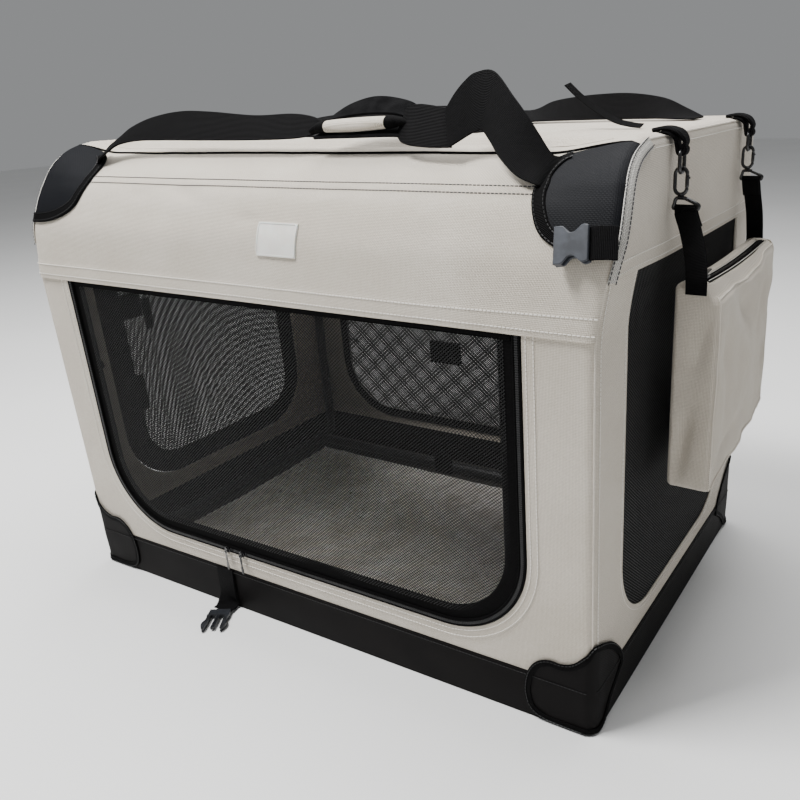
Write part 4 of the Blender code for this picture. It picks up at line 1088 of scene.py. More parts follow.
outline = holePath(doorHole, True, frontDoorNet["inset"])
doorNet = netPiece("front_door_net", onFront, outline, netOut(81.5, frontDoorNet["bulge"]), net["strand"])
settle(doorNet, "front_door", "front_door", ["front_door"])
edgePath = evenLine(holePath(doorHole, True, edgeInset + frontDoorNet["edge"] / 2), 0.006)
edgePath = edgePath[edgePath[:, 1] < frontDoorNet["below"]]
hemLine = straight((doorHole[0] + 0.012, frontDoorNet["hem"]), (doorHole[1] - 0.012, frontDoorNet["hem"]))
doorParts = [ribbonPart(onFront, edgePath, frontDoorNet["edge"], -0.0022, 0.0012),
             ribbonPart(onFront, hemLine, 0.01, -0.0014, 0.0012)]
settle(joinParts("front_door_edge", doorParts + padParts(onFront, frontDoorNet["pads"], -0.0036), binding),
       "front_door", "front_door")

outline = holePath(endHole, True, endDoorNet["inset"])
leftNet = netPiece("left_door_net", onLeft, outline, netOut(84.1, endDoorNet["bulge"]), net["strand"], 0)
settle(leftNet, "left_door", "left_door", ["left_door"])
edgePath = evenLine(holePath(endHole, True, edgeInset + endDoorNet["edge"] / 2), 0.006)
hemLine = straight((-0.172, endDoorNet["hem"]), (0.172, endDoorNet["hem"]))
leftParts = [ribbonPart(onLeft, edgePath, endDoorNet["edge"], -0.0022, 0.0012),
             ribbonPart(onLeft, hemLine, 0.014, -0.0012, 0.0012)]
settle(joinParts("left_door_edge", leftParts + padParts(onLeft, endDoorNet["pads"], -0.004), binding),
       "left_door", "left_door")

# the two windows' nets reach behind the wall's edge
windowNet = {"inset": -0.004, "bulge": 0.0008, "level": -0.0022, "edge": 0.016, "edgeInset": -0.008}
outline = holePath(endHole, True, windowNet["inset"])
windowOut = netOut(88.0, windowNet["bulge"], windowNet["level"])
rightNet = netPiece("right_window_net", onRight, outline, windowOut, net["window"])
settle(rightNet, "base", "wall", ["right_window"])

outline = holePath(backHole, False, windowNet["inset"])
windowOut = netOut(89.0, windowNet["bulge"], windowNet["level"])
backNet = netPiece("back_window_net", onBack, outline, windowOut, net["strand"], 1)
settle(backNet, "base", "wall", ["back_window"])
edgePath = evenLine(closeLine(holePath(backHole, False, windowNet["edgeInset"])), 0.007)[:-1]
part = ribbonPart(onBack, edgePath, windowNet["edge"], -0.0034, 0.001, True)
settle(joinParts("back_window_edge", [part], binding), "base", "wall")

hatchSize = {"inset": 0.018, "edgeInset": 0.0165, "edge": 0.012, "level": 0.0012, "sag": 0.0016}


def hatchOut(u, v):
    left, right, low, high, _ = roofHole
    wide, deep = np.clip((u - left) / (right - left), 0, 1), np.clip((v - low) / (high - low), 0, 1)
    dip = np.sin(np.pi * wide) * np.sin(np.pi * deep)
    return roofOut(u, v) - hatchSize["level"] - hatchSize["sag"] * dip


outline = holePath(roofHole, False, hatchSize["inset"])
hatchNet = netPiece("roof_hatch_net", onRoof, outline, hatchOut, net["strand"])
settle(hatchNet, "top_hatch", None, ["top_hatch"])
ring = holePath(roofHole, False, hatchSize["edgeInset"])
part = ribbonPart(onRoof, ring, hatchSize["edge"], roofOut(*ring.T) - 0.0016, 0.0014, True)
settle(joinParts("roof_hatch_edge", [part], binding), "top_hatch")

# coil zipper: two woven tapes with a nylon coil between them, and a corded ridge on each side
zipper = {"width": 0.0098, "coilPitch": 0.0024, "coilAcross": 0.0036, "coilSize": 0.0015, "coilLift": 0.0012,
          "cord": 0.0011, "cordAt": 0.0034, "inset": 0.0052}


def cordPart(face, path, out, radius, sides=6, closed=False):
    # a round cord along a path on a face
    points = onSkin(face, path, out)
    return sweptPart(points, roundSection(radius, sides), points - onSkin(face, path, out - 0.01), closed)


def zipperRun(name, face, path, facing, out, body, fold=None, replaces=(), closed=False):
    settle(joinParts(name + "_tape", [ribbonPart(face, path, zipper["width"], out, 0.0008, closed)], zipTape),
           body, fold, replaces)
    lift = out + zipper["coilLift"]
    line = onSkin(face, path, lift)
    teeth = growOnLines(name + "_coil", [closeLine(line) if closed else line], "teeth", Facing=facing,
                        Pitch=zipper["coilPitch"], Across=zipper["coilAcross"], Size=zipper["coilSize"],
                        Coil=nylonCoil)
    settle(teeth, body, fold)
    ridges = [cordPart(face, besidePath(path, by, closed), lift + 0.0002, zipper["cord"], 6, closed)
              for by in (-zipper["cordAt"], zipper["cordAt"])]
    settle(joinParts(name + "_piping", ridges, binding), body, fold)


print("zippers")
frontZip = evenLine(holePath(doorHole, True, zipper["inset"]), 0.005)
zipperRun("front_zipper", onFront, frontZip, (0, -1, 0), -0.0004, "front_zip", "front_zip", ["front_zipper"])
leftZip = evenLine(holePath(endHole, True, zipper["inset"]), 0.006)
zipperRun("left_zipper", onLeft, leftZip, (-1, 0, 0), -0.0004, "base", "wall")
hatchZip = holePath(roofHole, False, zipper["inset"])
zipperRun("roof_zipper", onRoof, hatchZip, (0, 0, 1), roofOut(*hatchZip.T) - 0.0003, "top_frame", closed=True)

print("patches, seams and stitches")
# the patches over the upper front corners: u and height of their upper and lower edges
upperPatch = {
    "right": {
        "high": [(0.32, 0.574), (0.3195, 0.5815), (0.322, 0.5885), (0.3275, 0.594), (0.335, 0.5972),
                 (0.35, 0.5982), (0.375, 0.5992), (0.405, 0.6005)],
        "low": [(0.32, 0.574), (0.319, 0.566), (0.32, 0.556), (0.323, 0.545), (0.328, 0.534), (0.335, 0.525),
                (0.347, 0.5165), (0.364, 0.511), (0.405, 0.508)],
    },
    "left": {
        "high": [(0.305, 0.576), (0.306, 0.584), (0.311, 0.5915), (0.323, 0.5965), (0.34, 0.599), (0.365, 0.6),
                 (0.385, 0.6008), (0.405, 0.601)],
        "low": [(0.305, 0.576), (0.3055, 0.564), (0.3085, 0.55), (0.314, 0.537), (0.323, 0.5285),
                (0.337, 0.5215), (0.356, 0.5155), (0.38, 0.512), (0.405, 0.5115)],
    },
    "out": 0.0017, "edge": 0.013, "edgeRise": 0.0011, "soft": 0.0007, "thickness": 0.0013,
    "bend": np.array([0, 0.0012, 0.003, 0.0055, 0.0085, 0.012]), "rimBelow": 0.57, "rimEnd": 0.4046,
}


def upperPatchOut(u, v):
    return frontFlapOut(u, v) + upperPatch["out"]


for word, sign, seed in (("right", 1, 91.0), ("left", -1, 95.0)):
    high, low = (smoothLine([(u, slopeAt(z)) for u, z in upperPatch[word][side]], 6)
                 for side in ("high", "low"))
    start = max(high[0, 0], low[0, 0]) + 0.0003
    across = start + (hw - start) * (1 - np.cos(np.linspace(0, np.pi / 2, 30)))
    across = np.unique(np.concatenate([across, hw - upperPatch["bend"]]))
    upper, lower = (np.interp(across, *line[line[:, 0].argsort()].T) for line in (high, low))
    u, v = loftBetween(across, lower, upper, 26)
    out = upperPatchOut(sign * u, v) + upperPatch["soft"] * noiseField(u, v, seed, 0.04)
    part = facePart(onFront, sign * u, v, out, upperPatch["thickness"])
    patch = settle(joinParts("upper_patch_cloth_" + word, [part], satinNylon), "front_hem",
                   "front_hem", ["upper_patch_" + word])
    rim = evenLine(np.vstack([low[::-1], high[1:]]), 0.004)
    inside = (rim[:, 0] < start + 0.022) | (rim[:, 1] < slopeAt(upperPatch["rimBelow"]))
    rim = rim[(rim[:, 0] < upperPatch["rimEnd"]) & inside]
    inward = besidePath(rim, -upperPatch["edge"] / 2) * (sign, 1)
    part = ribbonPart(onFront, inward, upperPatch["edge"], upperPatchOut(*inward.T) + 0.0003,
                      upperPatch["edgeRise"])
    settle(joinParts("upper_patch_edge_" + word, [part], binding), "front_hem", "front_hem")
    for by in (-0.0022, -upperPatch["edge"] + 0.0018):
        stitch("flapBlack", onFront, besidePath(rim, by) * (sign, 1), lambda u, v: upperPatchOut(u, v) + 0.0016)

# the front flap's hem, and the two lines that hold its lining near the roof
for at in (0.4463, 0.459):
    stitch("flapPale", onFront, straight((-0.4, at), (0.4, at)), frontFlapOut)
for at in flapSeams:
    stitch("flapGrey", onFront, straight((-0.31, at), (0.33, at)), frontFlapOut)

# woven tape over the seam between the front flap and the end flap
seamTapeSize = {"width": 0.0135, "out": 0.0019, "rise": 0.0009, "inset": 0.0048, "low": 0.484,
                "stitchAt": 0.0046}
for word, face, body, fold in (("right", onRight, "base", "wall"), ("left", onLeft, "left_hem", "left_hem")):
    low = seamTapeSize["low"]
    outline = evenLine(np.vstack([[(frontEdge(low), low)], slopeLine[slopeLine[:, 1] >= low]]), 0.004)
    middle = besidePath(outline, -seamTapeSize["inset"])
    part = ribbonPart(face, middle, seamTapeSize["width"], seamTapeSize["out"], seamTapeSize["rise"])
    settle(joinParts(word + "_seam_tape", [part], seamTape), body, fold)
    for by in (-seamTapeSize["stitchAt"], seamTapeSize["stitchAt"]):
        stitch(word + "Tape", face, besidePath(middle, by), seamTapeSize["out"] + 0.001)
    flapLines = [(float(frontEdge(at)) + 0.016, at) for at in (0.4885, 0.5)] + [(-0.135, 0.5935)]
    for u, at in flapLines:
        stitch(word + "Flap", face, straight((u, at), (hd - 0.004, at)),
               lambda u, v, s=endFlapSize["seeds"][word]: endFlapOut(u, v, s))

# stitches round each opening and beside the seams at the corners
sewing = {"wall": 0.0006, "band": 0.0022, "bandAt": 0.0565, "fromCorner": 0.0085, "wallLow": 0.064}
for by in (-0.0045, -0.0125):
    stitch("wallPale", onFront, holePath(doorHole, True, by), sewing["wall"])
for face in (onRight, onLeft):
    stitch("wallPale", face, holePath(endHole, True, -0.006), sewing["wall"])
    for u in (-hd + sewing["fromCorner"], hd - sewing["fromCorner"]):
        stitch("wallPale", face, straight((u, sewing["wallLow"]), (u, 0.484)), sewing["wall"])
stitch("wallPale", onBack, holePath(backHole, False, -0.006), sewing["wall"], True)
for u in (-hw + sewing["fromCorner"], hw - sewing["fromCorner"]):
    stitch("wallPale", onBack, straight((u, sewing["wallLow"]), (u, 0.6)), sewing["wall"])
stitch("roofPale", onRoof, holePath(roofHole, False, -0.005), roofOut, True)
for face, reach in ((onFront, 0.395), (onRight, 0.255), (onLeft, 0.255)):
    stitch("bandBlack", face, straight((-reach, sewing["bandAt"]), (reach, sewing["bandAt"])), sewing["band"])
for _, signX, signY in lowerCorners:
    path = besidePath(cornerPatchEdge(), 0.0022, True)
    stitch("bandBlack", onCorner(signX, signY), path, cornerPatch["out"] + 0.0014, True)

# each group's name, thread, its thickness against a plain stitch, body, fold and slot
groups = {
    "flapPale": ("front_flap_stitches", paleThreadAndHighlight, 1.3, "front_hem", "front_hem", "canvas"),
    "flapGrey": ("front_flap_lining_stitches", greyThreadAndGrooveShade, 1.3, "front_hem", "front_hem", "canvas"),
    "flapBlack": ("upper_patch_stitches", blackThread, 1, "front_hem", "front_hem", "satin"),
    "rightFlap": ("right_flap_stitches", paleThreadAndHighlight, 1, "base", "wall", "canvas"),
    "leftFlap": ("left_flap_stitches", paleThreadAndHighlight, 1, "left_hem", "left_hem", "canvas"),
    "rightTape": ("right_tape_stitches", greyThreadAndGrooveShade, 1, "base", "wall", "canvas"),
    "leftTape": ("left_tape_stitches", greyThreadAndGrooveShade, 1, "left_hem", "left_hem", "canvas"),
    "wallPale": ("wall_stitches", paleThreadAndHighlight, 1, "base", "wall", "canvas"),
    "roofPale": ("roof_stitches", paleThreadAndHighlight, 1, "top_frame", None, "canvas"),
    "bandBlack": ("foot_band_stitches", blackThread, 1, "base", None, "satin"),
}


def sewnPiece(name, lines, thread, thickness=1):
    return growOnLines(name, lines, "stitch", Pitch=stitching["pitch"], Length=stitching["length"],
                       Radius=stitching["radius"] * thickness, Thread=thread)


for key, (name, thread, thickness, body, fold, slot) in groups.items():
    settle(sewnPiece(name, stitchLines[key], thread, thickness), body, fold)

# rolled seams up the four corners, and the dark piping along the roof's front and back edge
seams = {"radius": 0.0011, "piping": 0.0013, "low": 0.062, "frontHigh": 0.4835, "backHigh": 0.596}
cornerSeams = []
for face in (onRight, onLeft):
    for u, high in ((-hd, seams["frontHigh"]), (hd, seams["backHigh"])):
        line = straight((u, seams["low"]), (u, high), 0.012)
        if u < 0:
            line[:, 0] = frontEdge(line[:, 1])
        cornerSeams.append(cordPart(face, line, 0.0002, seams["radius"]))
settle(joinParts("corner_seams", cornerSeams, oxfordHem), "base", "wall")
frontRoof = np.array([(u, slopeAt(0.6005)) for u in np.linspace(-0.403, 0.403, 90)])
part = cordPart(onFront, frontRoof, frontFlapOut(*frontRoof.T) + 0.0009, seams["piping"], 8)
settle(joinParts("front_roof_piping", [part], binding), "front_hem", "front_hem")
part = cordPart(onRoof, straight((-0.398, hd), (0.398, hd), 0.012), 0.0006, seams["piping"], 8)
settle(joinParts("rear_roof_piping", [part], binding), "top_frame")
sides = [cordPart(onRoof, straight((sign * hw, -0.146), (sign * hw, hd - 0.004), 0.012), 0.0003,
                  seams["radius"])
         for sign in (-1, 1)]
settle(joinParts("side_roof_seams", sides, oxfordHem), "top_frame")


# straps, wrap and tie


def edgedWeb(edges, thick):
    # a flat web between two edge curves, with soft edges and closed ends
    low, high = smoothLine(edges["low"], 6), smoothLine(edges["high"], 6)
    middle, side = (low + high) / 2, high - low
    broad = np.linalg.norm(side, axis=1)
    across = side / broad[:, None]
    normal = unit(np.cross(np.gradient(middle, axis=0), across))
    sections = np.array([strapSection(b, thick) for b in broad])
    verts = middle[:, None] + across[:, None] * sections[:, :, :1] + normal[:, None] * sections[:, :, 1:]
    run = np.repeat(runOf(middle)[:, None], sections.shape[1], axis=1)
    uvs = np.stack([run, sections[:, :, 0]], axis=2).reshape(-1, 2)
    return orderedPart((verts.reshape(-1, 3), tubeFaces(*sections.shape[:2]), uvs))


def liftedStrap(name, pieces, handle, still, lifted, replaced=None):
    # a strap sewn to the roof at one end and running to the handle at the other; its webs are joined into one
    # piece and baked where they lie
    web = joinParts(name, [edgedWeb(edges, strapThick) for edges in pieces], webbing)
    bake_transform(web)
    if replaced:
        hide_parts(replaced)


print("straps")
strapThick = 0.002
# each strap is given by its lower and its upper edge
leftStrap = {
    "low": [(-0.318, -0.201, 0.58), (-0.308, -0.205, 0.586), (-0.292, -0.2, 0.596), (-0.279, -0.194, 0.603),
            (-0.25, -0.189, 0.607), (-0.207, -0.187, 0.6075), (-0.14, -0.187, 0.607), (-0.067, -0.186, 0.6065),
            (-0.01, -0.185, 0.607), (0.02, -0.182, 0.6085), (0.04, -0.178, 0.6125)],
    "high": [(-0.323, -0.178, 0.595), (-0.311, -0.183, 0.601), (-0.287, -0.18, 0.613), (-0.27, -0.174, 0.6235),
             (-0.234, -0.17, 0.634), (-0.184, -0.168, 0.64), (-0.1314, -0.169, 0.6385),
             (-0.0604, -0.169, 0.633), (-0.0044, -0.168, 0.6335), (0.026, -0.168, 0.63),
             (0.042, -0.17, 0.624)],
    "blend": ((-0.335, 0, 0), (-0.15, 0, 0)),
}
liftedStrap("front_strap_left_web", [leftStrap], "front_handle", *leftStrap["blend"], "front_strap_left")

# the right half is creased beside the wrap: a lying piece, then one that rises from it and turns over
rightStrap = {
    "lying": {
        "low": [(0.145, -0.178, 0.61), (0.156, -0.187, 0.6035), (0.172, -0.193, 0.6005), (0.19, -0.1955, 0.599),
                (0.208, -0.1965, 0.5985), (0.223, -0.196, 0.5985)],
        "high": [(0.148, -0.168, 0.626), (0.156, -0.17, 0.636), (0.17, -0.172, 0.639), (0.185, -0.174, 0.638),
                 (0.199, -0.176, 0.636), (0.211, -0.178, 0.634)]},
    "rising": {
        "low": [(0.2215, -0.1995, 0.5985), (0.229, -0.1935, 0.6035), (0.237, -0.189, 0.6085),
                (0.247, -0.187, 0.613), (0.254, -0.1885, 0.613), (0.268, -0.199, 0.6035),
                (0.285, -0.211, 0.5895), (0.306, -0.22, 0.576), (0.325, -0.2222, 0.569),
                (0.331, -0.215, 0.566)],
        "high": [(0.2085, -0.182, 0.633), (0.2165, -0.175, 0.648), (0.226, -0.17, 0.659),
                 (0.237, -0.168, 0.6655), (0.259, -0.17, 0.6655), (0.286, -0.183, 0.643),
                 (0.305, -0.19, 0.6245), (0.318, -0.192, 0.608), (0.329, -0.1915, 0.593),
                 (0.336, -0.186, 0.59)]},
    "blend": ((0.318, 0, 0), (0.24, 0, 0)),
}
liftedStrap("front_strap_right_web", [rightStrap["lying"], rightStrap["rising"]], "front_handle",
            *rightStrap["blend"], "front_strap_right")

# both halves of the rear strap, which share the edge at the middle
rearStrap = {
    "low": [(-0.35, 0.136, 0.6068), (-0.32, 0.1355, 0.6066), (-0.285, 0.1345, 0.6068), (-0.24, 0.133, 0.6068),
            (-0.15, 0.1345, 0.607), (-0.05, 0.137, 0.6072), (0.05, 0.138, 0.6072), (0.126, 0.137, 0.6068),
            (0.165, 0.139, 0.6068), (0.2, 0.1405, 0.607), (0.231, 0.1415, 0.6072), (0.267, 0.1415, 0.6072),
            (0.309, 0.14, 0.607), (0.336, 0.137, 0.6066), (0.36, 0.1355, 0.6066)],
    "high": [(-0.35, 0.17, 0.6068), (-0.318, 0.169, 0.608), (-0.282, 0.167, 0.614), (-0.236, 0.165, 0.62),
             (-0.148, 0.164, 0.626), (-0.046, 0.162, 0.63), (0.055, 0.162, 0.628), (0.122, 0.164, 0.62),
             (0.16, 0.159, 0.631), (0.192, 0.156, 0.6355), (0.228, 0.1545, 0.638), (0.271, 0.1545, 0.638),
             (0.315, 0.158, 0.631), (0.342, 0.164, 0.618), (0.362, 0.169, 0.607)],
    "left": ((-0.345, 0, 0), (-0.15, 0, 0)),
    "right": ((0.36, 0, 0), (0.2, 0, 0)),
}
rearStrap["middle"] = 7
for word, span, replaced in (("left", slice(rearStrap["middle"]), "rear_strap"),
                             ("right", slice(rearStrap["middle"] - 1, None), None)):
    half = {side: rearStrap[side][span] for side in ("low", "high")}
    liftedStrap("rear_strap_web_" + word, [half], "rear_handle", *rearStrap[word], replaced)

tieStrip = {"path": [(0.344, 0, 0.6062), (0.3325, 0, 0.6075), (0.314, 0, 0.612), (0.293, 0, 0.6225),
                     (0.272, 0, 0.637), (0.255, 0, 0.6515)],
            "width": 0.012, "thick": 0.0012, "side": (0.1, 0.92, 0.3)}
tiePart = sweptPart(smoothLine(tieStrip["path"], 6), strapSection(tieStrip["width"], tieStrip["thick"]),
                    tieStrip["side"])
settle(joinParts("tie_tape_strip", [tiePart], binding), "top_frame", None, ["tie_tape"])

# the wrap: a padded beige sleeve, a black lining under it and its hook-and-loop flap standing open behind
wrap = {
    "path": [(0.04, -0.1785, 0.618), (0.056, -0.179, 0.6195), (0.098, -0.179, 0.621), (0.132, -0.1785, 0.6225),
             (0.148, -0.178, 0.623)],
    "half": 0.0068, "depth": 0.0085, "thick": 0.0034, "side": (0, 0.96, 0.28), "cuffGrow": 1.12,
    "flap": {
        "low": [(0.036, -0.17, 0.617), (0.05, -0.168, 0.624), (0.075, -0.167, 0.628), (0.105, -0.167, 0.63),
                (0.135, -0.167, 0.629), (0.156, -0.169, 0.624), (0.165, -0.172, 0.616)],
        "high": [(0.035, -0.16, 0.62), (0.048, -0.156, 0.63), (0.07, -0.152, 0.641), (0.1, -0.15, 0.6475),
                 (0.129, -0.15, 0.6455), (0.156, -0.155, 0.639), (0.169, -0.162, 0.627)]},
    "lining": {
        "low": [(0.038, -0.185, 0.608), (0.06, -0.186, 0.6085), (0.1, -0.186, 0.609), (0.14, -0.185, 0.6095),
                (0.162, -0.183, 0.608)],
        "high": [(0.038, -0.164, 0.613), (0.06, -0.162, 0.615), (0.1, -0.162, 0.616), (0.14, -0.162, 0.616),
                 (0.162, -0.164, 0.614)]},
}
wrapLine = smoothLine(wrap["path"], 8)
share = runOf(wrapLine) / runOf(wrapLine)[-1]
swell = 0.62 + 0.38 * np.sin(np.pi * np.clip(share, 0.0, 1.0)) ** 0.45


def wrapTube(line, sizes, sides):
    rings = np.array([roundSection(wrap["depth"], sides, wrap["half"] / wrap["depth"]) * k for k in sizes])
    return sweptPart(line, rings, wrap["side"])


sleeve = settle(joinParts("handle_wrap_sleeve", [wrapTube(wrapLine, swell, 20)], oxford, 50), "front_handle",
                None, ["handle_wrap"])
settle(joinParts("handle_wrap_lining", [edgedWeb(wrap[k], wrap["thick"]) for k in ("flap", "lining")], loopPile,
                 50), "front_handle")
cuffs = []
# the black bound ends of the wrap: the two outermost points of each, then the wrap's own line
for ends in ([(0.03, -0.179, 0.615), (0.0345, -0.1788, 0.6165)],
             [(0.1545, -0.1776, 0.6225), (0.159, -0.1772, 0.6215)]):
    first = ends[0][0] < 0.1
    at = np.linspace(0.0, 0.13, 7) if first else np.linspace(0.88, 1.0, 7)
    middle = np.stack([np.interp(at, share, wrapLine[:, k]) for k in range(3)], axis=1)
    grow = np.interp(at, share, swell) * wrap["cuffGrow"]
    middle = np.vstack([ends, middle]) if first else np.vstack([middle, ends])
    grow = np.concatenate([[0.34, 0.55], grow]) if first else np.concatenate([grow, [0.55, 0.34]])
    fine = smoothLine(np.column_stack([middle, grow]), 3)
    cuffs.append(wrapTube(fine[:, :3], fine[:, 3], 16))
settle(joinParts("handle_wrap_binding", cuffs, binding, 50), "front_handle")


# fittings


def closedRod(points, radius, normal, sides=10):
    return sweptPart(points, roundSection(radius, sides), normal, True)


def openRod(points, radii, side, sides=10):
    return sweptPart(points, np.array([roundSection(r, sides) for r in radii]), side)


def plateVerts(outline, level, inset=0.0):
    # an outline at one level, drawn in along its corners' bisectors
    points = np.array(outline, float)
    if inset:
        both = unit(points - np.roll(points, 1, axis=0)) + unit(np.roll(points, -1, axis=0) - points)
        inward = np.stack([-both[:, 1], both[:, 0]], axis=1)
        inward /= np.maximum(np.linalg.norm(inward, axis=1), 0.2)[:, None]
        points = points + inward * inset
    return np.column_stack([points, np.full(len(points), level)])


def platePart(outline, low, high, edge=0.0006):
    # a flat moulded shape with softened rims; the outline runs anticlockwise
    levels = ((low, edge), (low + edge, 0.0), (high - edge, 0.0), (high, edge))
    verts = np.vstack([plateVerts(outline, level, inset) for level, inset in levels])
    return orderedPart((verts, tubeFaces(4, len(outline)), verts[:, :2]))


def movePart(part, origin, axisX, axisY, axisZ):
    axes = np.array([axisX, axisY, axisZ], float)
    return orderedPart((np.array(part[0]) @ axes + np.array(origin, float), part[1], part[2]))


print("hangers")
hanger = {
    "x": hw + 0.012, "linkTop": 0.588, "linkMiddle": 0.5775, "linkRod": 0.002,
    "hookMiddle": 0.5586, "hookRod": 0.0019, "hookFoot": 0.5459, "eyeX": hw + 0.018, "eyeTop": 0.5424,
    "eyeLow": 0.5324, "gateReach": 0.006, "loopWide": 0.022, "loopNarrow": 0.013, "loopThick": 0.004,
    "strapWidth": 0.0215, "strapThick": 0.0019, "ring": (0.007, 0.0105, 0.0056), "reachU": 0.0061,
    "reachV": 0.0066, "turn": 0.003,
    # the loop over the roof's edge, as x and z: over the top and back under it
    "over": [(0.389, 0.6066), (0.398, 0.6082), (0.407, 0.6074), (0.415, 0.604), (0.4203, 0.5965)],
    "back": [(0.4122, 0.5938), (0.4112, 0.5992), (0.4066, 0.6034), (0.398, 0.6052)],
    # heights and radii of the hook's swivel and of its gate
    "stemZ": [0.0018, 0.0006, -0.0004, -0.001, -0.0014, -0.002, -0.0032, -0.0042],
    "stemR": [0.0024, 0.0036, 0.0036, 0.003, 0.0026, 0.0034, 0.0036, 0.0028],
    "gateLow": 0.006, "gateHigh": 0.0062, "gateR": [0.0016, 0.002, 0.002, 0.002, 0.002, 0.0016],
}
# the web's way from the eye down to where it is sewn to the pouch
hangerWebs = {
    "front": (-0.085, -1, [(0.449, -0.1235, 0.456), (0.4485, -0.1225, 0.468), (0.443, -0.111, 0.49),
                           (0.4325, -0.096, 0.512), (0.4245, -0.089, 0.527)]),
    "rear": (0.18, 1, [(0.427, 0.2065, 0.446), (0.427, 0.206, 0.459), (0.4262, 0.198, 0.489),
                       (0.4245, 0.187, 0.514), (0.4232, 0.184, 0.527)]),
}
for word, (y, toward, downPath) in hangerWebs.items():
    x = hanger["x"]
    around = arcLine((x, hanger["linkTop"]), 0.0038, 60, -150, 8)
    path = smoothLine(np.vstack([hanger["over"], around, hanger["back"]]), 3)
    narrow = 1 - easeIn(path[:, 1] - 0.5925, 0.012)
    widths = hanger["loopWide"] + (hanger["loopNarrow"] - hanger["loopWide"]) * narrow
    rings = np.array([strapSection(w, hanger["loopThick"]) for w in widths])
    loopPart = sweptPart(placed(path[:, 0], y, path[:, 1]), rings, (0, 1, 0))
    settle(joinParts("pouch_loop_web_" + word, [loopPart], webbing), "top_frame", None,
           ["pouch_loop_" + word])

    ring = ringLine(*hanger["ring"])
    linkPart = closedRod(placed(x, y + ring[:, 0], hanger["linkMiddle"] + ring[:, 1]), hanger["linkRod"],
                         (1, 0, 0), 12)
    settle(joinParts("pouch_link_ring_" + word, [linkPart], paintedZinc), "pouch_links", None,
           ["pouch_link_" + word])

    middle = hanger["hookMiddle"]
    reachU, reachV = hanger["reachU"], hanger["reachV"]
    upper = arcLine((x, middle + reachV), reachU, 0, 180, 10)
    lower = arcLine((x, middle - reachV), reachU, 180, 360, 10)
    ends = [(x + reachU, middle + hanger["gateReach"])], [(x + reachU, middle - hanger["gateReach"])]
    ringPath = evenLine(np.vstack([ends[0], upper, lower, ends[1]]), 0.0012)
    radii = np.full(len(ringPath), hanger["hookRod"])
    radii[0] = radii[-1] = hanger["hookRod"] * 0.7
    hookPart = openRod(placed(ringPath[:, 0], y, ringPath[:, 1]), radii, (0, 1, 0), 12)
    stemZ = hanger["hookFoot"] + np.array(hanger["stemZ"])
    stem = openRod(placed(x + 0.0008, y, stemZ), hanger["stemR"], (1, 0, 0), 14)
    eyeX, eyeTop, eyeLow = hanger["eyeX"], hanger["eyeTop"], hanger["eyeLow"]
    corners = [(x + 0.0048, eyeTop), (x - 0.0036, eyeTop - 0.0002), (eyeX - 0.0118, eyeLow + 0.0042),
               (eyeX - 0.0127, eyeLow + 0.0012),
               (eyeX - 0.0105, eyeLow - 0.0001), (eyeX + 0.0105, eyeLow - 0.0001),
               (eyeX + 0.0127, eyeLow + 0.0012), (eyeX + 0.0118, eyeLow + 0.0042)]
    eyeLine = smoothLine(corners + corners[:1], 5)[:-1]
    eye = closedRod(placed(eyeLine[:, 0], y, eyeLine[:, 1]), hanger["hookRod"], (0, 1, 0), 10)
    settle(joinParts("snap_hook_body_" + word, [hookPart, stem, eye], paintedZinc), "pouch", None,
           ["snap_hook_" + word])

    gateLow, gateHigh = middle - hanger["gateLow"], middle + hanger["gateHigh"]
    gateZ = np.array([gateLow, gateLow + 0.0006, gateLow + 0.003, gateHigh - 0.003, gateHigh - 0.0006,
                      gateHigh])
    gateRod = openRod(placed(x + reachU, y, gateZ), hanger["gateR"], (1, 0, 0), 12)
    nubX = x + reachU + np.array([0.001, 0.0022, 0.003])
    nub = openRod(placed(nubX, y, gateHigh - 0.003), [0.0013, 0.0013, 0.0008], (0, 1, 0), 10)
    settle(joinParts("hook_gate_lever_" + word, [gateRod, nub], paintedZinc), "gate_" + word,
           None, ["hook_gate_" + word])

    turn = hanger["turn"]
    arc = arcLine((0, 0), turn, -40, 190, 9)
    around = placed(eyeX, y + toward * arc[:, 0], eyeLow + arc[:, 1])
    lean = 0.0045 if word == "front" else 0.0004
    tucked = [(eyeX + lean * 0.2, y - toward * (turn - 0.0008), eyeLow - 0.004),
              (eyeX + lean, y + toward * 0.0012, eyeLow - 0.012),
              (eyeX + lean * 2, y + toward * 0.005, eyeLow - 0.02)]
    path = smoothLine(np.vstack([downPath, around, tucked]), 4)
    webPart = sweptPart(path, strapSection(hanger["strapWidth"], hanger["strapThick"]), (1, 0, 0))
    settle(joinParts("pouch_strap_web_" + word, [webPart], webbing), "pouch", None,
           ["pouch_strap_" + word])


# pouch: a sewn shell that sags between its two webs


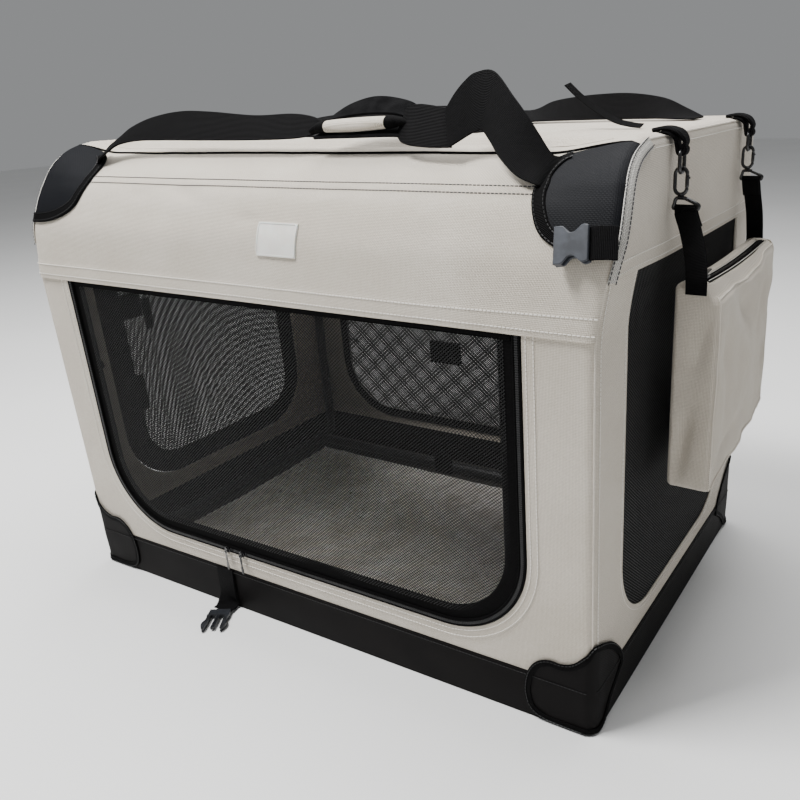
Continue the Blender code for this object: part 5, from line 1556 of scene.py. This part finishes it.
print("pouch")
pouch = {
    "inner": hw + 0.0125, "frontDepth": 0.048, "rearDepth": 0.036, "front": -0.12, "rear": 0.205,
    "low": 0.237, "high": 0.462, "corner": 0.006, "rim": 0.0075, "zipX": 0.4395, "zipHalf": 0.0066,
    "zipEnd": 0.02, "bulge": 0.007, "sag": 0.0045, "levels": 44, "step": 0.005, "seam": 0.0013,
    "topSlope": 0.0125, "topReach": 0.06, "swing": 0.0085, "frontUp": 0.004, "rearDown": 0.006,
    "topWave": 0.0022, "slotEdge": 0.002,
    # depth, seed and size of the waves of the broad face and of the gussets
    "ripples": ((0.0036, 55.0, 0.055), (0.0014, 59.0, 0.022)), "soft": (0.0014, 58.0, 0.035),
    # the folds of the broad face, by y and z, and the tucks of the front gusset, by x and z
    "folds": [
        (1, (-0.09, 0.44), (-0.072, 0.3), 0.013, 0.0055), (1, (-0.03, 0.452), (0.06, 0.375), 0.02, 0.0085),
        (1, (0.15, 0.43), (0.08, 0.35), 0.019, 0.008), (1, (0.13, 0.33), (0.204, 0.3), 0.017, 0.0085),
        (1, (-0.115, 0.262), (0.02, 0.282), 0.015, 0.0068), (1, (0.01, 0.3), (0.08, 0.255), 0.014, 0.0055),
        (1, (0.19, 0.4), (0.204, 0.36), 0.015, 0.006), (-1, (-0.04, 0.4), (0.03, 0.335), 0.016, 0.005),
        (-1, (0.09, 0.32), (0.14, 0.265), 0.015, 0.005)],
    "tucks": [(1, (0.438, 0.335), (0.429, 0.245), 0.007, 0.0075),
              (1, (0.452, 0.445), (0.442, 0.36), 0.008, 0.004)],
}


def pouchWide(y):
    # how far along the pouch a place is, from its front end to its rear end
    return (y - pouch["front"]) / (pouch["rear"] - pouch["front"])


def hung(points):
    # how the filled pouch hangs: its front end stands out, its rear end sinks and its top falls away outwards
    x, y, z = np.array(points, float).T
    wide = np.clip(pouchWide(y), 0, 1)
    outer = easeIn(x - pouch["zipX"] - 0.004, pouch["frontDepth"] * 0.34)
    top = easeIn(z - pouch["high"] + pouch["topReach"], pouch["topReach"])
    wave = pouch["topWave"] * noiseField(y, y * 0 + 0.4, 63.0, 0.05)
    lift = pouch["frontUp"] - (pouch["frontUp"] + pouch["rearDown"]) * wide
    lift = lift - (pouch["topSlope"] + wave) * outer * top
    return np.column_stack([x + pouch["swing"] * (1 - wide), y, z + lift])


def pouchOutline():
    # plan of the pouch, walked anticlockwise with rounded corners; returns points and outward directions
    a, b, c = (pouch["inner"] + depth for depth in (0.0, pouch["frontDepth"], pouch["rearDepth"]))
    corners = np.array([(a, pouch["front"]), (b, pouch["front"]), (c, pouch["rear"]), (a, pouch["rear"])])
    ahead = unit(np.roll(corners, -1, axis=0) - corners)
    normals = np.stack([ahead[:, 1], -ahead[:, 0]], axis=1)
    arriving = np.roll(normals, 1, axis=0)
    halfTurn = (arriving + normals) / (1 + np.sum(arriving * normals, axis=1)[:, None])
    centres = corners - halfTurn * pouch["corner"]
    points, outs = [], []
    for k, centre in enumerate(centres):
        share = np.linspace(0, 1, 7)[:, None]
        turned = unit(arriving[k] * (1 - share) + normals[k] * share)
        points += list(centre + turned * pouch["corner"])
        outs += list(turned)
        start, end = (place + normals[k] * pouch["corner"] for place in (centre, centres[(k + 1) % 4]))
        count = int(np.linalg.norm(end - start) / pouch["step"])
        for f in np.arange(1, count) / count:
            points.append(start * (1 - f) + end * f)
            outs.append(normals[k])
    return np.array(points), np.array(outs)


def pouchPush(points, outs, z):
    # how far the cloth stands out of the plain shape, by face
    x, y = points.T
    level = np.full(len(y), z)
    rise = np.sin(np.pi * np.clip((z - pouch["low"]) / (pouch["high"] - pouch["low"]), 0, 1)) ** 0.6
    outer = np.clip(outs[:, 0], 0, 1) ** 2
    gusset = np.clip(-outs[:, 1], 0, 1) ** 2
    rear = np.clip(outs[:, 1], 0, 1) ** 2
    full = pouch["bulge"] * rise * np.sin(np.pi * np.clip(pouchWide(y), 0, 1)) ** 0.6
    first, second = (depth * noiseField(y, level, seed, size) for depth, seed, size in pouch["ripples"])
    ripple = first + second
    depth, seed, size = pouch["soft"]
    soft = depth * noiseField(x, level, seed, size)
    outer = outer * (full - creasesAt(y, level, pouch["folds"]) + ripple)
    gusset = gusset * (0.001 * rise - creasesAt(x, level, pouch["tucks"]) + soft)
    return outer + gusset + rear * (0.0008 * rise + soft)


def pouchRow(z, inset, dropMiddle):
    points, outs = pouchOutline()
    moved = points + outs * (pouchPush(points, outs, z) - inset)[:, None]
    return placed(*moved.T, z - dropMiddle * np.sin(np.pi * np.clip(pouchWide(points[:, 1]), 0, 1)))


def towardsSlot(row, share, z):
    # moves a ring of the top towards the zipper's slot
    trim = pouch["slotEdge"]
    slotLow = (pouch["zipX"] - pouch["zipHalf"] + trim, pouch["front"] + pouch["zipEnd"] + trim)
    slotHigh = (pouch["zipX"] + pouch["zipHalf"] - trim, pouch["rear"] - pouch["zipEnd"] - trim)
    core = np.clip(row[:, :2], slotLow, slotHigh)
    slot = core + unit(row[:, :2] - core) * trim
    return placed(*(row[:, :2] * (1 - share) + slot * share).T, row[:, 2] + z)


rim, low, high, sag = (pouch[key] for key in ("rim", "low", "high", "sag"))
rows = []
for turn in np.radians([70, 50, 30, 10]):
    rows.append(pouchRow(low + rim * (1 - math.sin(turn)), rim * (1 - math.cos(turn)),
                         -0.24 * sag * math.cos(turn)))
for share in np.arange(pouch["levels"] + 1) / pouch["levels"]:
    rows.append(pouchRow(low + rim + (high - low - 2 * rim) * share, 0.0, sag * 0.5 * share ** 3))
for turn in np.radians([15, 35, 55, 75, 90]):
    rise = math.sin(turn)
    rows.append(pouchRow(high - rim + rim * rise, rim * (1 - math.cos(turn)), sag * (0.5 + 0.5 * rise)))
wallRows, topRow = len(rows), rows[-1]
for share, z in ((0.25, 0.001), (0.5, 0.0014), (0.75, 0.0008), (0.92, -0.0004), (1.0, -0.0022), (1.0, -0.013)):
    rows.append(towardsSlot(topRow, share, z))
plainRow = rows[10]
around, heights = runOf(closeLine(plainRow))[:-1], runOf([r[0] for r in rows])
pouchUvs = np.stack([np.tile(around, len(rows)), np.repeat(heights, len(around))], axis=1)
shell = orderedPart((hung(np.vstack(rows)), tubeFaces(len(rows), len(around)), pouchUvs))
body = settle(joinParts("pouch_shell", [shell], oxford, 60), "pouch", None, ["pouch_body"])

# piped seams: down the two outer corners and round the top and the bottom of the broad face
cornerAt = sorted(int(np.argmin(np.hypot(plainRow[:, 0] - x, plainRow[:, 1] - y)))
                  for x, y in ((pouch["inner"] + pouch["frontDepth"], pouch["front"]),
                               (pouch["inner"] + pouch["rearDepth"], pouch["rear"])))
grid = np.array([hung(row) for row in rows[:wallRows]])
cord = roundSection(pouch["seam"], 6)
seamParts = [sweptPart(grid[2:, k] + (0.0003, math.copysign(0.0003, grid[2, k, 1]), 0), cord, (0, 1, 0))
             for k in cornerAt]
for level in (3, wallRows - 3):
    line = grid[level, cornerAt[0]:cornerAt[1] + 1]
    seamParts.append(sweptPart(line + (0.0004, 0, 0), cord, (0, 0, 1)))
settle(joinParts("pouch_seams", seamParts, oxfordHem, 50), "pouch")

# its zipper: tape in the slot, coil along the middle, one pale stitch line on each side
zipY = np.linspace(pouch["front"] + pouch["zipEnd"] - 0.001, pouch["rear"] - pouch["zipEnd"] + 0.001, 70)
zipLine = hung(placed(pouch["zipX"], zipY, high - 0.0008 - sag * np.sin(np.pi * pouchWide(zipY))))
ridges = [sweptPart(zipLine, strapSection(2 * pouch["zipHalf"], 0.0012), (1, 0, 0))]
for by in (-0.003, 0.003):
    ridges.append(sweptPart(zipLine + (by, 0, 0.0008), roundSection(0.0009, 6), (1, 0, 0)))
settle(joinParts("pouch_zipper_tape", ridges, zipTape), "pouch", None, ["pouch_zipper"])
pouchCoil = growOnLines("pouch_zipper_coil", [zipLine + (0, 0, 0.0012)], "teeth", Pitch=0.0024, Across=0.0034,
                        Size=0.0013, Facing=(0, 0, 1), Coil=nylonCoil)
settle(pouchCoil, "pouch")
stitchRows = [zipLine[2:-2] + (by, 0, 0.001) for by in (-0.0056, 0.0056)]
pouchSewn = sewnPiece("pouch_stitches", stitchRows, paleThreadAndHighlight)
settle(pouchSewn, "pouch")

# slider and tab lying along the zipper
sliderLow, sliderHigh = (np.array(corner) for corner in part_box("pouch_slider"))
cx, cy, _ = (sliderLow + sliderHigh) / 2
carried = hung([(cx, cy, 0.4)])[0] - (cx, cy, 0.4)
cx += carried[0]
z0 = sliderLow[2] + 0.0002 + carried[2] - 0.0016
shape = ringLine(*(sliderHigh - sliderLow)[:2] / 2, 0.0016, 4)
sliderBody = movePart(platePart(shape, 0, 0.0026, 0.0005), (cx, cy, z0), (1, 0, 0), (0, 1, 0), (0, 0, 1))
arch = [(cx, cy + by, z0 + z)
        for by, z in ((-0.0035, 0.0022), (-0.0022, 0.004), (0.0022, 0.004), (0.0035, 0.0022))]
bridge = openRod(smoothLine(arch, 5), np.full(16, 0.0007), (1, 0, 0), 8)
tabPart = movePart(platePart(ringLine(0.0021, 0.009, 0.0014, 4), 0, 0.0011, 0.0003),
                   (cx, cy + 0.0095, z0 + 0.0038), (1, 0, 0), (0, 0.99, 0.1), (0, -0.1, 0.99))
settle(joinParts("pouch_slider_runner", [sliderBody, bridge, tabPart], paintedZinc), "pouch_slider",
       None, ["pouch_slider"])


# buckles

print("buckles")
# the receiving half: straight ends and a waist to press the prongs through
socket = {
    "seam": (0.4055, -0.250505, 0.525), "up": (0, 0.447774, 0.894147), "hang": 9,
    "low": 0.001, "high": 0.011, "plate": 0.0024, "webWidth": 0.03, "webThick": 0.0018,
    # along and across: one side of the plan, the block at the web and the wall at the mouth
    "side": [(0.0105, -0.0152), (0.0142, -0.0164), (0.0175, -0.0158), (0.0212, -0.0126), (0.0248, -0.0104),
             (0.029, -0.011), (0.0325, -0.0148), (0.0352, -0.0166), (0.0425, -0.0168)],
    "block": [(0.0108, -0.0146), (0.0175, -0.0146), (0.0175, 0.0146), (0.0108, 0.0146)],
    "wall": [(0.0355, -0.0166), (0.0423, -0.0166), (0.0423, -0.014), (0.0355, -0.014)],
    # along and out of the flap: the web that holds it
    "web": [(-0.012, -0.001), (-0.006, 0.0022), (0.002, 0.0052), (0.008, 0.0062), (0.0125, 0.0062)],
}


upright = np.array(socket["up"])
outward = np.array([0, -upright[2], upright[1]])
# the free end hangs a little
hang = math.radians(socket["hang"])
along = np.array([-math.cos(hang), 0, 0]) - upright * math.sin(hang)
up = upright * math.cos(hang) - np.array([math.sin(hang), 0, 0])
axes = (tuple(along), tuple(up), tuple(outward))
low, high = socket["low"], socket["high"]
side = smoothLine(socket["side"], 3)
shell = np.vstack([side, side[::-1] * (1, -1)])
wallHigh = [(u, -v) for u, v in reversed(socket["wall"])]
socketParts = [platePart(shell, low, low + socket["plate"], 0.0007),
               platePart(shell, high - socket["plate"], high, 0.0008),
               platePart(socket["block"], low + 0.0004, high - 0.0004, 0.0004)]
for wall in (socket["wall"], wallHigh):
    socketParts.append(platePart(wall, low + 0.0012, high - 0.0012, 0.0002))
socketParts = [movePart(p, socket["seam"], *axes) for p in socketParts]
settle(joinParts("buckle_receiver", socketParts, acetal), "buckle_socket", None,
       ["buckle_socket"])
origin = np.array(socket["seam"])
webLine = smoothLine([origin + along * a + outward * c for a, c in socket["web"]], 4)
webPart = sweptPart(webLine, strapSection(socket["webWidth"], socket["webThick"]), tuple(up))
settle(joinParts("buckle_tab_web", [webPart], webbing), "buckle_tab", None, ["buckle_web"])

# the pronged half lies on the ground at the end of its web
plug = {
    "base": (-0.135, -0.2862, 0.0), "yaw": 30, "low": 0.0015, "high": 0.0075, "webWidth": 0.03,
    "webThick": 0.0018,
    "bar": [(-0.0142, -0.0128), (-0.0147, -0.0062), (-0.0143, -0.0002)],
    "prong": [(0.0104, -0.0112), (0.0143, -0.0112), (0.0134, -0.018), (0.0136, -0.0235), (0.016, -0.03),
              (0.0152, -0.0362), (0.0128, -0.0425), (0.0114, -0.0422), (0.0108, -0.036), (0.0103, -0.025)],
    "tongue": [(-0.0026, -0.0392), (-0.0019, -0.0402), (0.0019, -0.0402), (0.0026, -0.0392), (0.0028, -0.0115),
               (-0.0028, -0.0115)],
    "rail": [(-0.0008, -0.038), (0.0008, -0.038), (0.0008, -0.012), (-0.0008, -0.012)],
    "web": [(-0.137, -0.2655, 0.06), (-0.137, -0.2664, 0.052), (-0.137, -0.2668, 0.035),
            (-0.137, -0.2676, 0.018), (-0.1366, -0.2704, 0.0085), (-0.136, -0.276, 0.005),
            (-0.1352, -0.2836, 0.0046)],
}
yaw = math.radians(plug["yaw"])
plugAxes = ((math.cos(yaw), math.sin(yaw), 0), (-math.sin(yaw), math.cos(yaw), 0), (0, 0, 1))
bar = smoothLine(plug["bar"], 3)
barOutline = np.vstack([bar[::-1], bar * (-1, 1)])
prong = smoothLine(plug["prong"], 3)
plugParts = [platePart(barOutline, plug["low"], plug["high"], 0.0008),
             platePart(plug["tongue"], 0.0022, 0.0066, 0.0007),
             platePart(plug["rail"], 0.006, 0.0076, 0.0003)]
for side in (prong, prong[::-1] * (-1, 1)):
    plugParts.append(platePart(side, 0.002, 0.007, 0.0008))
settle(joinParts("buckle_prongs", [movePart(p, plug["base"], *plugAxes) for p in plugParts], blackAcetal),
       "buckle_plug", None, ["buckle_plug"])
webLine = smoothLine(plug["web"], 5)
turn = easeIn(0.02 - webLine[:, 2], 0.016) * yaw
webPart = sweptPart(webLine, strapSection(plug["webWidth"], plug["webThick"]),
                    placed(np.cos(turn), np.sin(turn), 0))
settle(joinParts("buckle_ground_web", [webPart], webbing), "base", None, ["buckle_web_front"])

# sliders of the front zipper and their slim pull tabs
runner = {
    "z": 0.093, "face": -0.2633, "pullY": -0.2696, "left": -0.124, "right": -0.097,
    "shape": [(-0.0053, 0.0012), (-0.004, -0.004), (0.0, -0.0044), (0.004, -0.004), (0.0053, 0.0012),
              (0.0036, 0.0042), (0.0, 0.003), (-0.0036, 0.0042), (-0.0053, 0.0012)],
    "arch": [(-0.2668, 0.0966), (-0.2692, 0.0962), (-0.27, 0.0935), (-0.2692, 0.0908), (-0.2668, 0.0902)],
    "tabZ": [0.0895, 0.088, 0.085, 0.08, 0.077, 0.0755, 0.0735, 0.07, 0.067, 0.065, 0.0636],
    "tabHalf": [0.001, 0.0016, 0.0019, 0.0016, 0.0012, 0.0016, 0.002, 0.0022, 0.0022, 0.0018, 0.0008],
}
runnerShape = smoothLine(runner["shape"], 3)[:-1]
runnerAxes = ((1, 0, 0), (0, 0, 1), (0, -1, 0))
for word, finish in (("left", nickelZinc), ("right", paintedZinc)):
    x = runner[word]
    place = (x, runner["face"], runner["z"])
    layers = ((runnerShape, 0.0002, 0.0016, 0.0004), (runnerShape * 0.9, 0.0026, 0.004, 0.0004),
              (ringLine(0.0014, 0.0022, 0.0008, 3), 0.001, 0.0032, 0.0002))
    plates = [movePart(platePart(*layer), place, *runnerAxes) for layer in layers]
    arch = smoothLine([(x, y, z) for y, z in runner["arch"]], 4)
    bridge = openRod(arch, np.full(len(arch), 0.0008), (1, 0, 0), 8)
    settle(joinParts("zipper_slider_" + word, [*plates, bridge], paintedZinc), "front_slider_" + word,
           None, ["front_slider_" + word])
    ring = ringLine(0.0019, 0.0024, 0.0014, 4)
    hoop = closedRod(placed(x + ring[:, 0], runner["pullY"], 0.0915 + ring[:, 1]), 0.0007, (0, 1, 0), 8)
    tabRings = np.array([roundSection(half, 12, 0.5) for half in runner["tabHalf"]])
    pull = sweptPart(placed(x, runner["pullY"], runner["tabZ"]), tabRings, (1, 0, 0))
    settle(joinParts("zipper_pull_" + word, [hoop, pull], finish), "front_pull_" + word, None,
           ["front_pull_" + word])

# badge on the flap: bare soft PVC with a raised rim
badge = {"left": 0.004, "right": 0.06, "low": 0.493, "high": 0.527, "out": 0.0016, "thickness": 0.0016,
         "rim": 0.0018, "rimRise": 0.0006}
ends = np.array([(badge["left"], float(slopeAt(badge["low"]))),
                 (badge["right"], float(slopeAt(badge["high"])))])
u, v = np.meshgrid(np.linspace(*ends[:, 0], 26), np.linspace(*ends[:, 1], 16))
plate = facePart(onFront, u, v, frontFlapOut(u, v) + badge["out"], badge["thickness"])
rimLine = ringLine(*(ends[1] - ends[0]) / 2 - badge["rim"] / 2, 0.0016, 3) + ends.mean(axis=0)
rimLine = evenLine(closeLine(rimLine), 0.003)[:-1]
rimPart = ribbonPart(onFront, rimLine, badge["rim"], frontFlapOut(*rimLine.T) + badge["out"] - 0.0001,
                     badge["rimRise"], True)
settle(joinParts("bare_badge", [plate, rimPart], softPvc), "front_hem", "front_hem", ["label_patch"])


# floor mat and the CAD pieces that stay in view

print("mat")
mat = {
    "inset": 0.004, "height": 0.01, "step": 0.003, "across": 60, "deep": 40, "drawn": 0.006, "voxel": 0.006,
    "pressure": 4.0, "cap": 0.005, "frames": 20, "dents": ((0.0016, 12.0, 0.06), (0.001, 19.0, 0.024)),
}
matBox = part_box("floor_mat")


def matBlank(inset):
    # the pad before it is filled: a thin slab whose sides draw in between the corners
    x, y = matBox[1].x - inset, matBox[1].y - inset
    low, high, step = matBox[0].z, matBox[0].z + mat["height"], mat["step"]
    us, vs = (np.linspace(-1, 1, mat[key] + 1)[:-1] for key in ("across", "deep"))
    edge = np.array([(u, -1) for u in us] + [(1, v) for v in vs]
                    + [(-u, 1) for u in us] + [(-1, -v) for v in vs])
    pull = mat["drawn"] * np.cos(edge * np.pi / 2)[:, ::-1] * (np.abs(edge) > 0.999)
    rings = []
    for level, draw in ((low, step), (low + step, 0.0), (high - step, 0.0), (high, step)):
        rings.append(placed(*(edge * (x - draw, y - draw) - edge * pull).T, level))
    return makeMesh("mat_blank", np.vstack(rings), tubeFaces(4, len(edge)), fleece, None, None)


def filledMat():
    # the pad blown up by a cloth simulation with its underside held; returns where its points come to lie
    pad = matBlank(mat["inset"])
    remesh = pad.modifiers.new("voxels", "REMESH")
    remesh.mode, remesh.voxel_size = "VOXEL", mat["voxel"]
    applyModifiers(pad)
    rest = placesOf(pad)
    pinned = pad.vertex_groups.new(name="held")
    under = [v.index for v in pad.data.vertices if v.co.z < matBox[0].z + 0.002]
    pinned.add(under, 1.0, "REPLACE")
    cloth = pad.modifiers.new("filling", "CLOTH")
    cloth.settings.use_pressure = True
    cloth.settings.uniform_pressure_force = mat["pressure"]
    cloth.settings.vertex_group_mass = "held"
    cloth.settings.quality = 4
    cloth.settings.effector_weights.gravity = 0
    cloth.collision_settings.use_collision = False
    for frameNumber in range(1, mat["frames"] + 1):
        bpy.context.scene.frame_set(frameNumber)
    applyModifiers(pad)
    bpy.context.scene.frame_set(1)
    moved = placesOf(pad) - rest
    length = np.linalg.norm(moved, axis=1)
    return pad, rest + moved * np.minimum(1, mat["cap"] / np.maximum(length, 1e-9))[:, None]


def placesOf(obj):
    return np.array([v.co for v in obj.data.vertices])


def applyModifiers(obj):
    mesh, old = evaluatedMesh(obj), obj.data
    obj.modifiers.clear()
    obj.data = mesh
    bpy.data.meshes.remove(old)


pad, places = filledMat()
raised = easeIn(places[:, 2] - matBox[0].z - 0.004, 0.004)
for depth, seed, size in mat["dents"]:
    places[:, 2] += depth * noiseField(places[:, 0], places[:, 1], seed, size) * raised
pad.data.vertices.foreach_set("co", places.ravel())
pad.data.update()
smooth = pad.modifiers.new("smooth", "SUBSURF")
smooth.levels = smooth.render_levels = 1
applyModifiers(pad)
pad.data.shade_smooth()
pad.name = pad.data.name = "mat_pad"
settle(pad, "base", None, ["floor_mat"])

kept = {
    powderSteel: ["base_rail_front", "base_rail_back", "top_rail_front", "top_rail_back", "lower_hoop_left",
                  "lower_hoop_right", "upper_hoop_left", "upper_hoop_right"],
    filledNylon: ["knee_front_left", "knee_back_left", "knee_front_right", "knee_back_right"],
    fibreboard: ["base_board"],
    acetal: ["lock_button_left", "lock_button_right"],
}
for finish, names in kept.items():
    for name in names:
        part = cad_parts[name]
        part.data.materials.clear()
        part.data.materials.append(finish)


# floor, light and camera


def softLight(name, where, towards, size, power):
    data = bpy.data.lights.new(name, "AREA")
    data.shape = "RECTANGLE"
    data.size, data.size_y = size
    data.energy = power
    lamp = bpy.data.objects.new(name, data)
    lamp.location = where
    lamp.rotation_euler = (Vector(towards) - Vector(where)).to_track_quat("-Z", "Y").to_euler()
    bpy.context.scene.collection.objects.link(lamp)


def paleFloor():
    made, tree, shader = newFinish("matte white studio floor", Roughness=0.75)
    paint(tree, shader, noiseShade(tree, surfacePoint(tree, "solid"), 2.0, 1.0), "#E6E6E5", "#EEEEED")
    reach = studio["floor"]
    corners = [(-reach, -reach, 0), (reach, -reach, 0), (reach, reach, 0), (-reach, reach, 0)]
    floor = makeMesh("studio_floor", corners, [(0, 1, 2, 3)], made, None, None)


print("floor, light and camera")
studio = {"floor": 9, "sky": "#F4F6F8", "skyPower": 0.3}
paleFloor()
world = bpy.data.worlds.new("studio")
world.use_nodes = True
bpy.context.scene.world = world
sky = world.node_tree.nodes["Background"].inputs
sky["Color"].default_value = hexColour(studio["sky"])
sky["Strength"].default_value = studio["skyPower"]
# place, aim, size and power in watts
softLight("key_light", (-0.75, -0.95, 2.8), (0, -0.1, 0.45), (1.0, 0.8), 135)
softLight("fill_light", (2.2, -0.6, 1.6), (0.1, 0, 0.3), (1.4, 1.4), 3)
softLight("top_light", (0.0, 0.6, 2.6), (0, 0, 0.5), (2.0, 1.4), 70)

lens = bpy.data.cameras.new("photo_camera")
lens.sensor_width = 36
lens.lens = 36.463
lens.shift_x, lens.shift_y = -0.11417, 0.02181
camera = bpy.data.objects.new("photo_camera", lens)
camera.location = (0.6709, -0.8914, 0.6507)
camera.rotation_euler = [math.radians(a) for a in (67.883, 2.308, 29.98)]
bpy.context.scene.collection.objects.link(camera)
bpy.context.scene.camera = camera
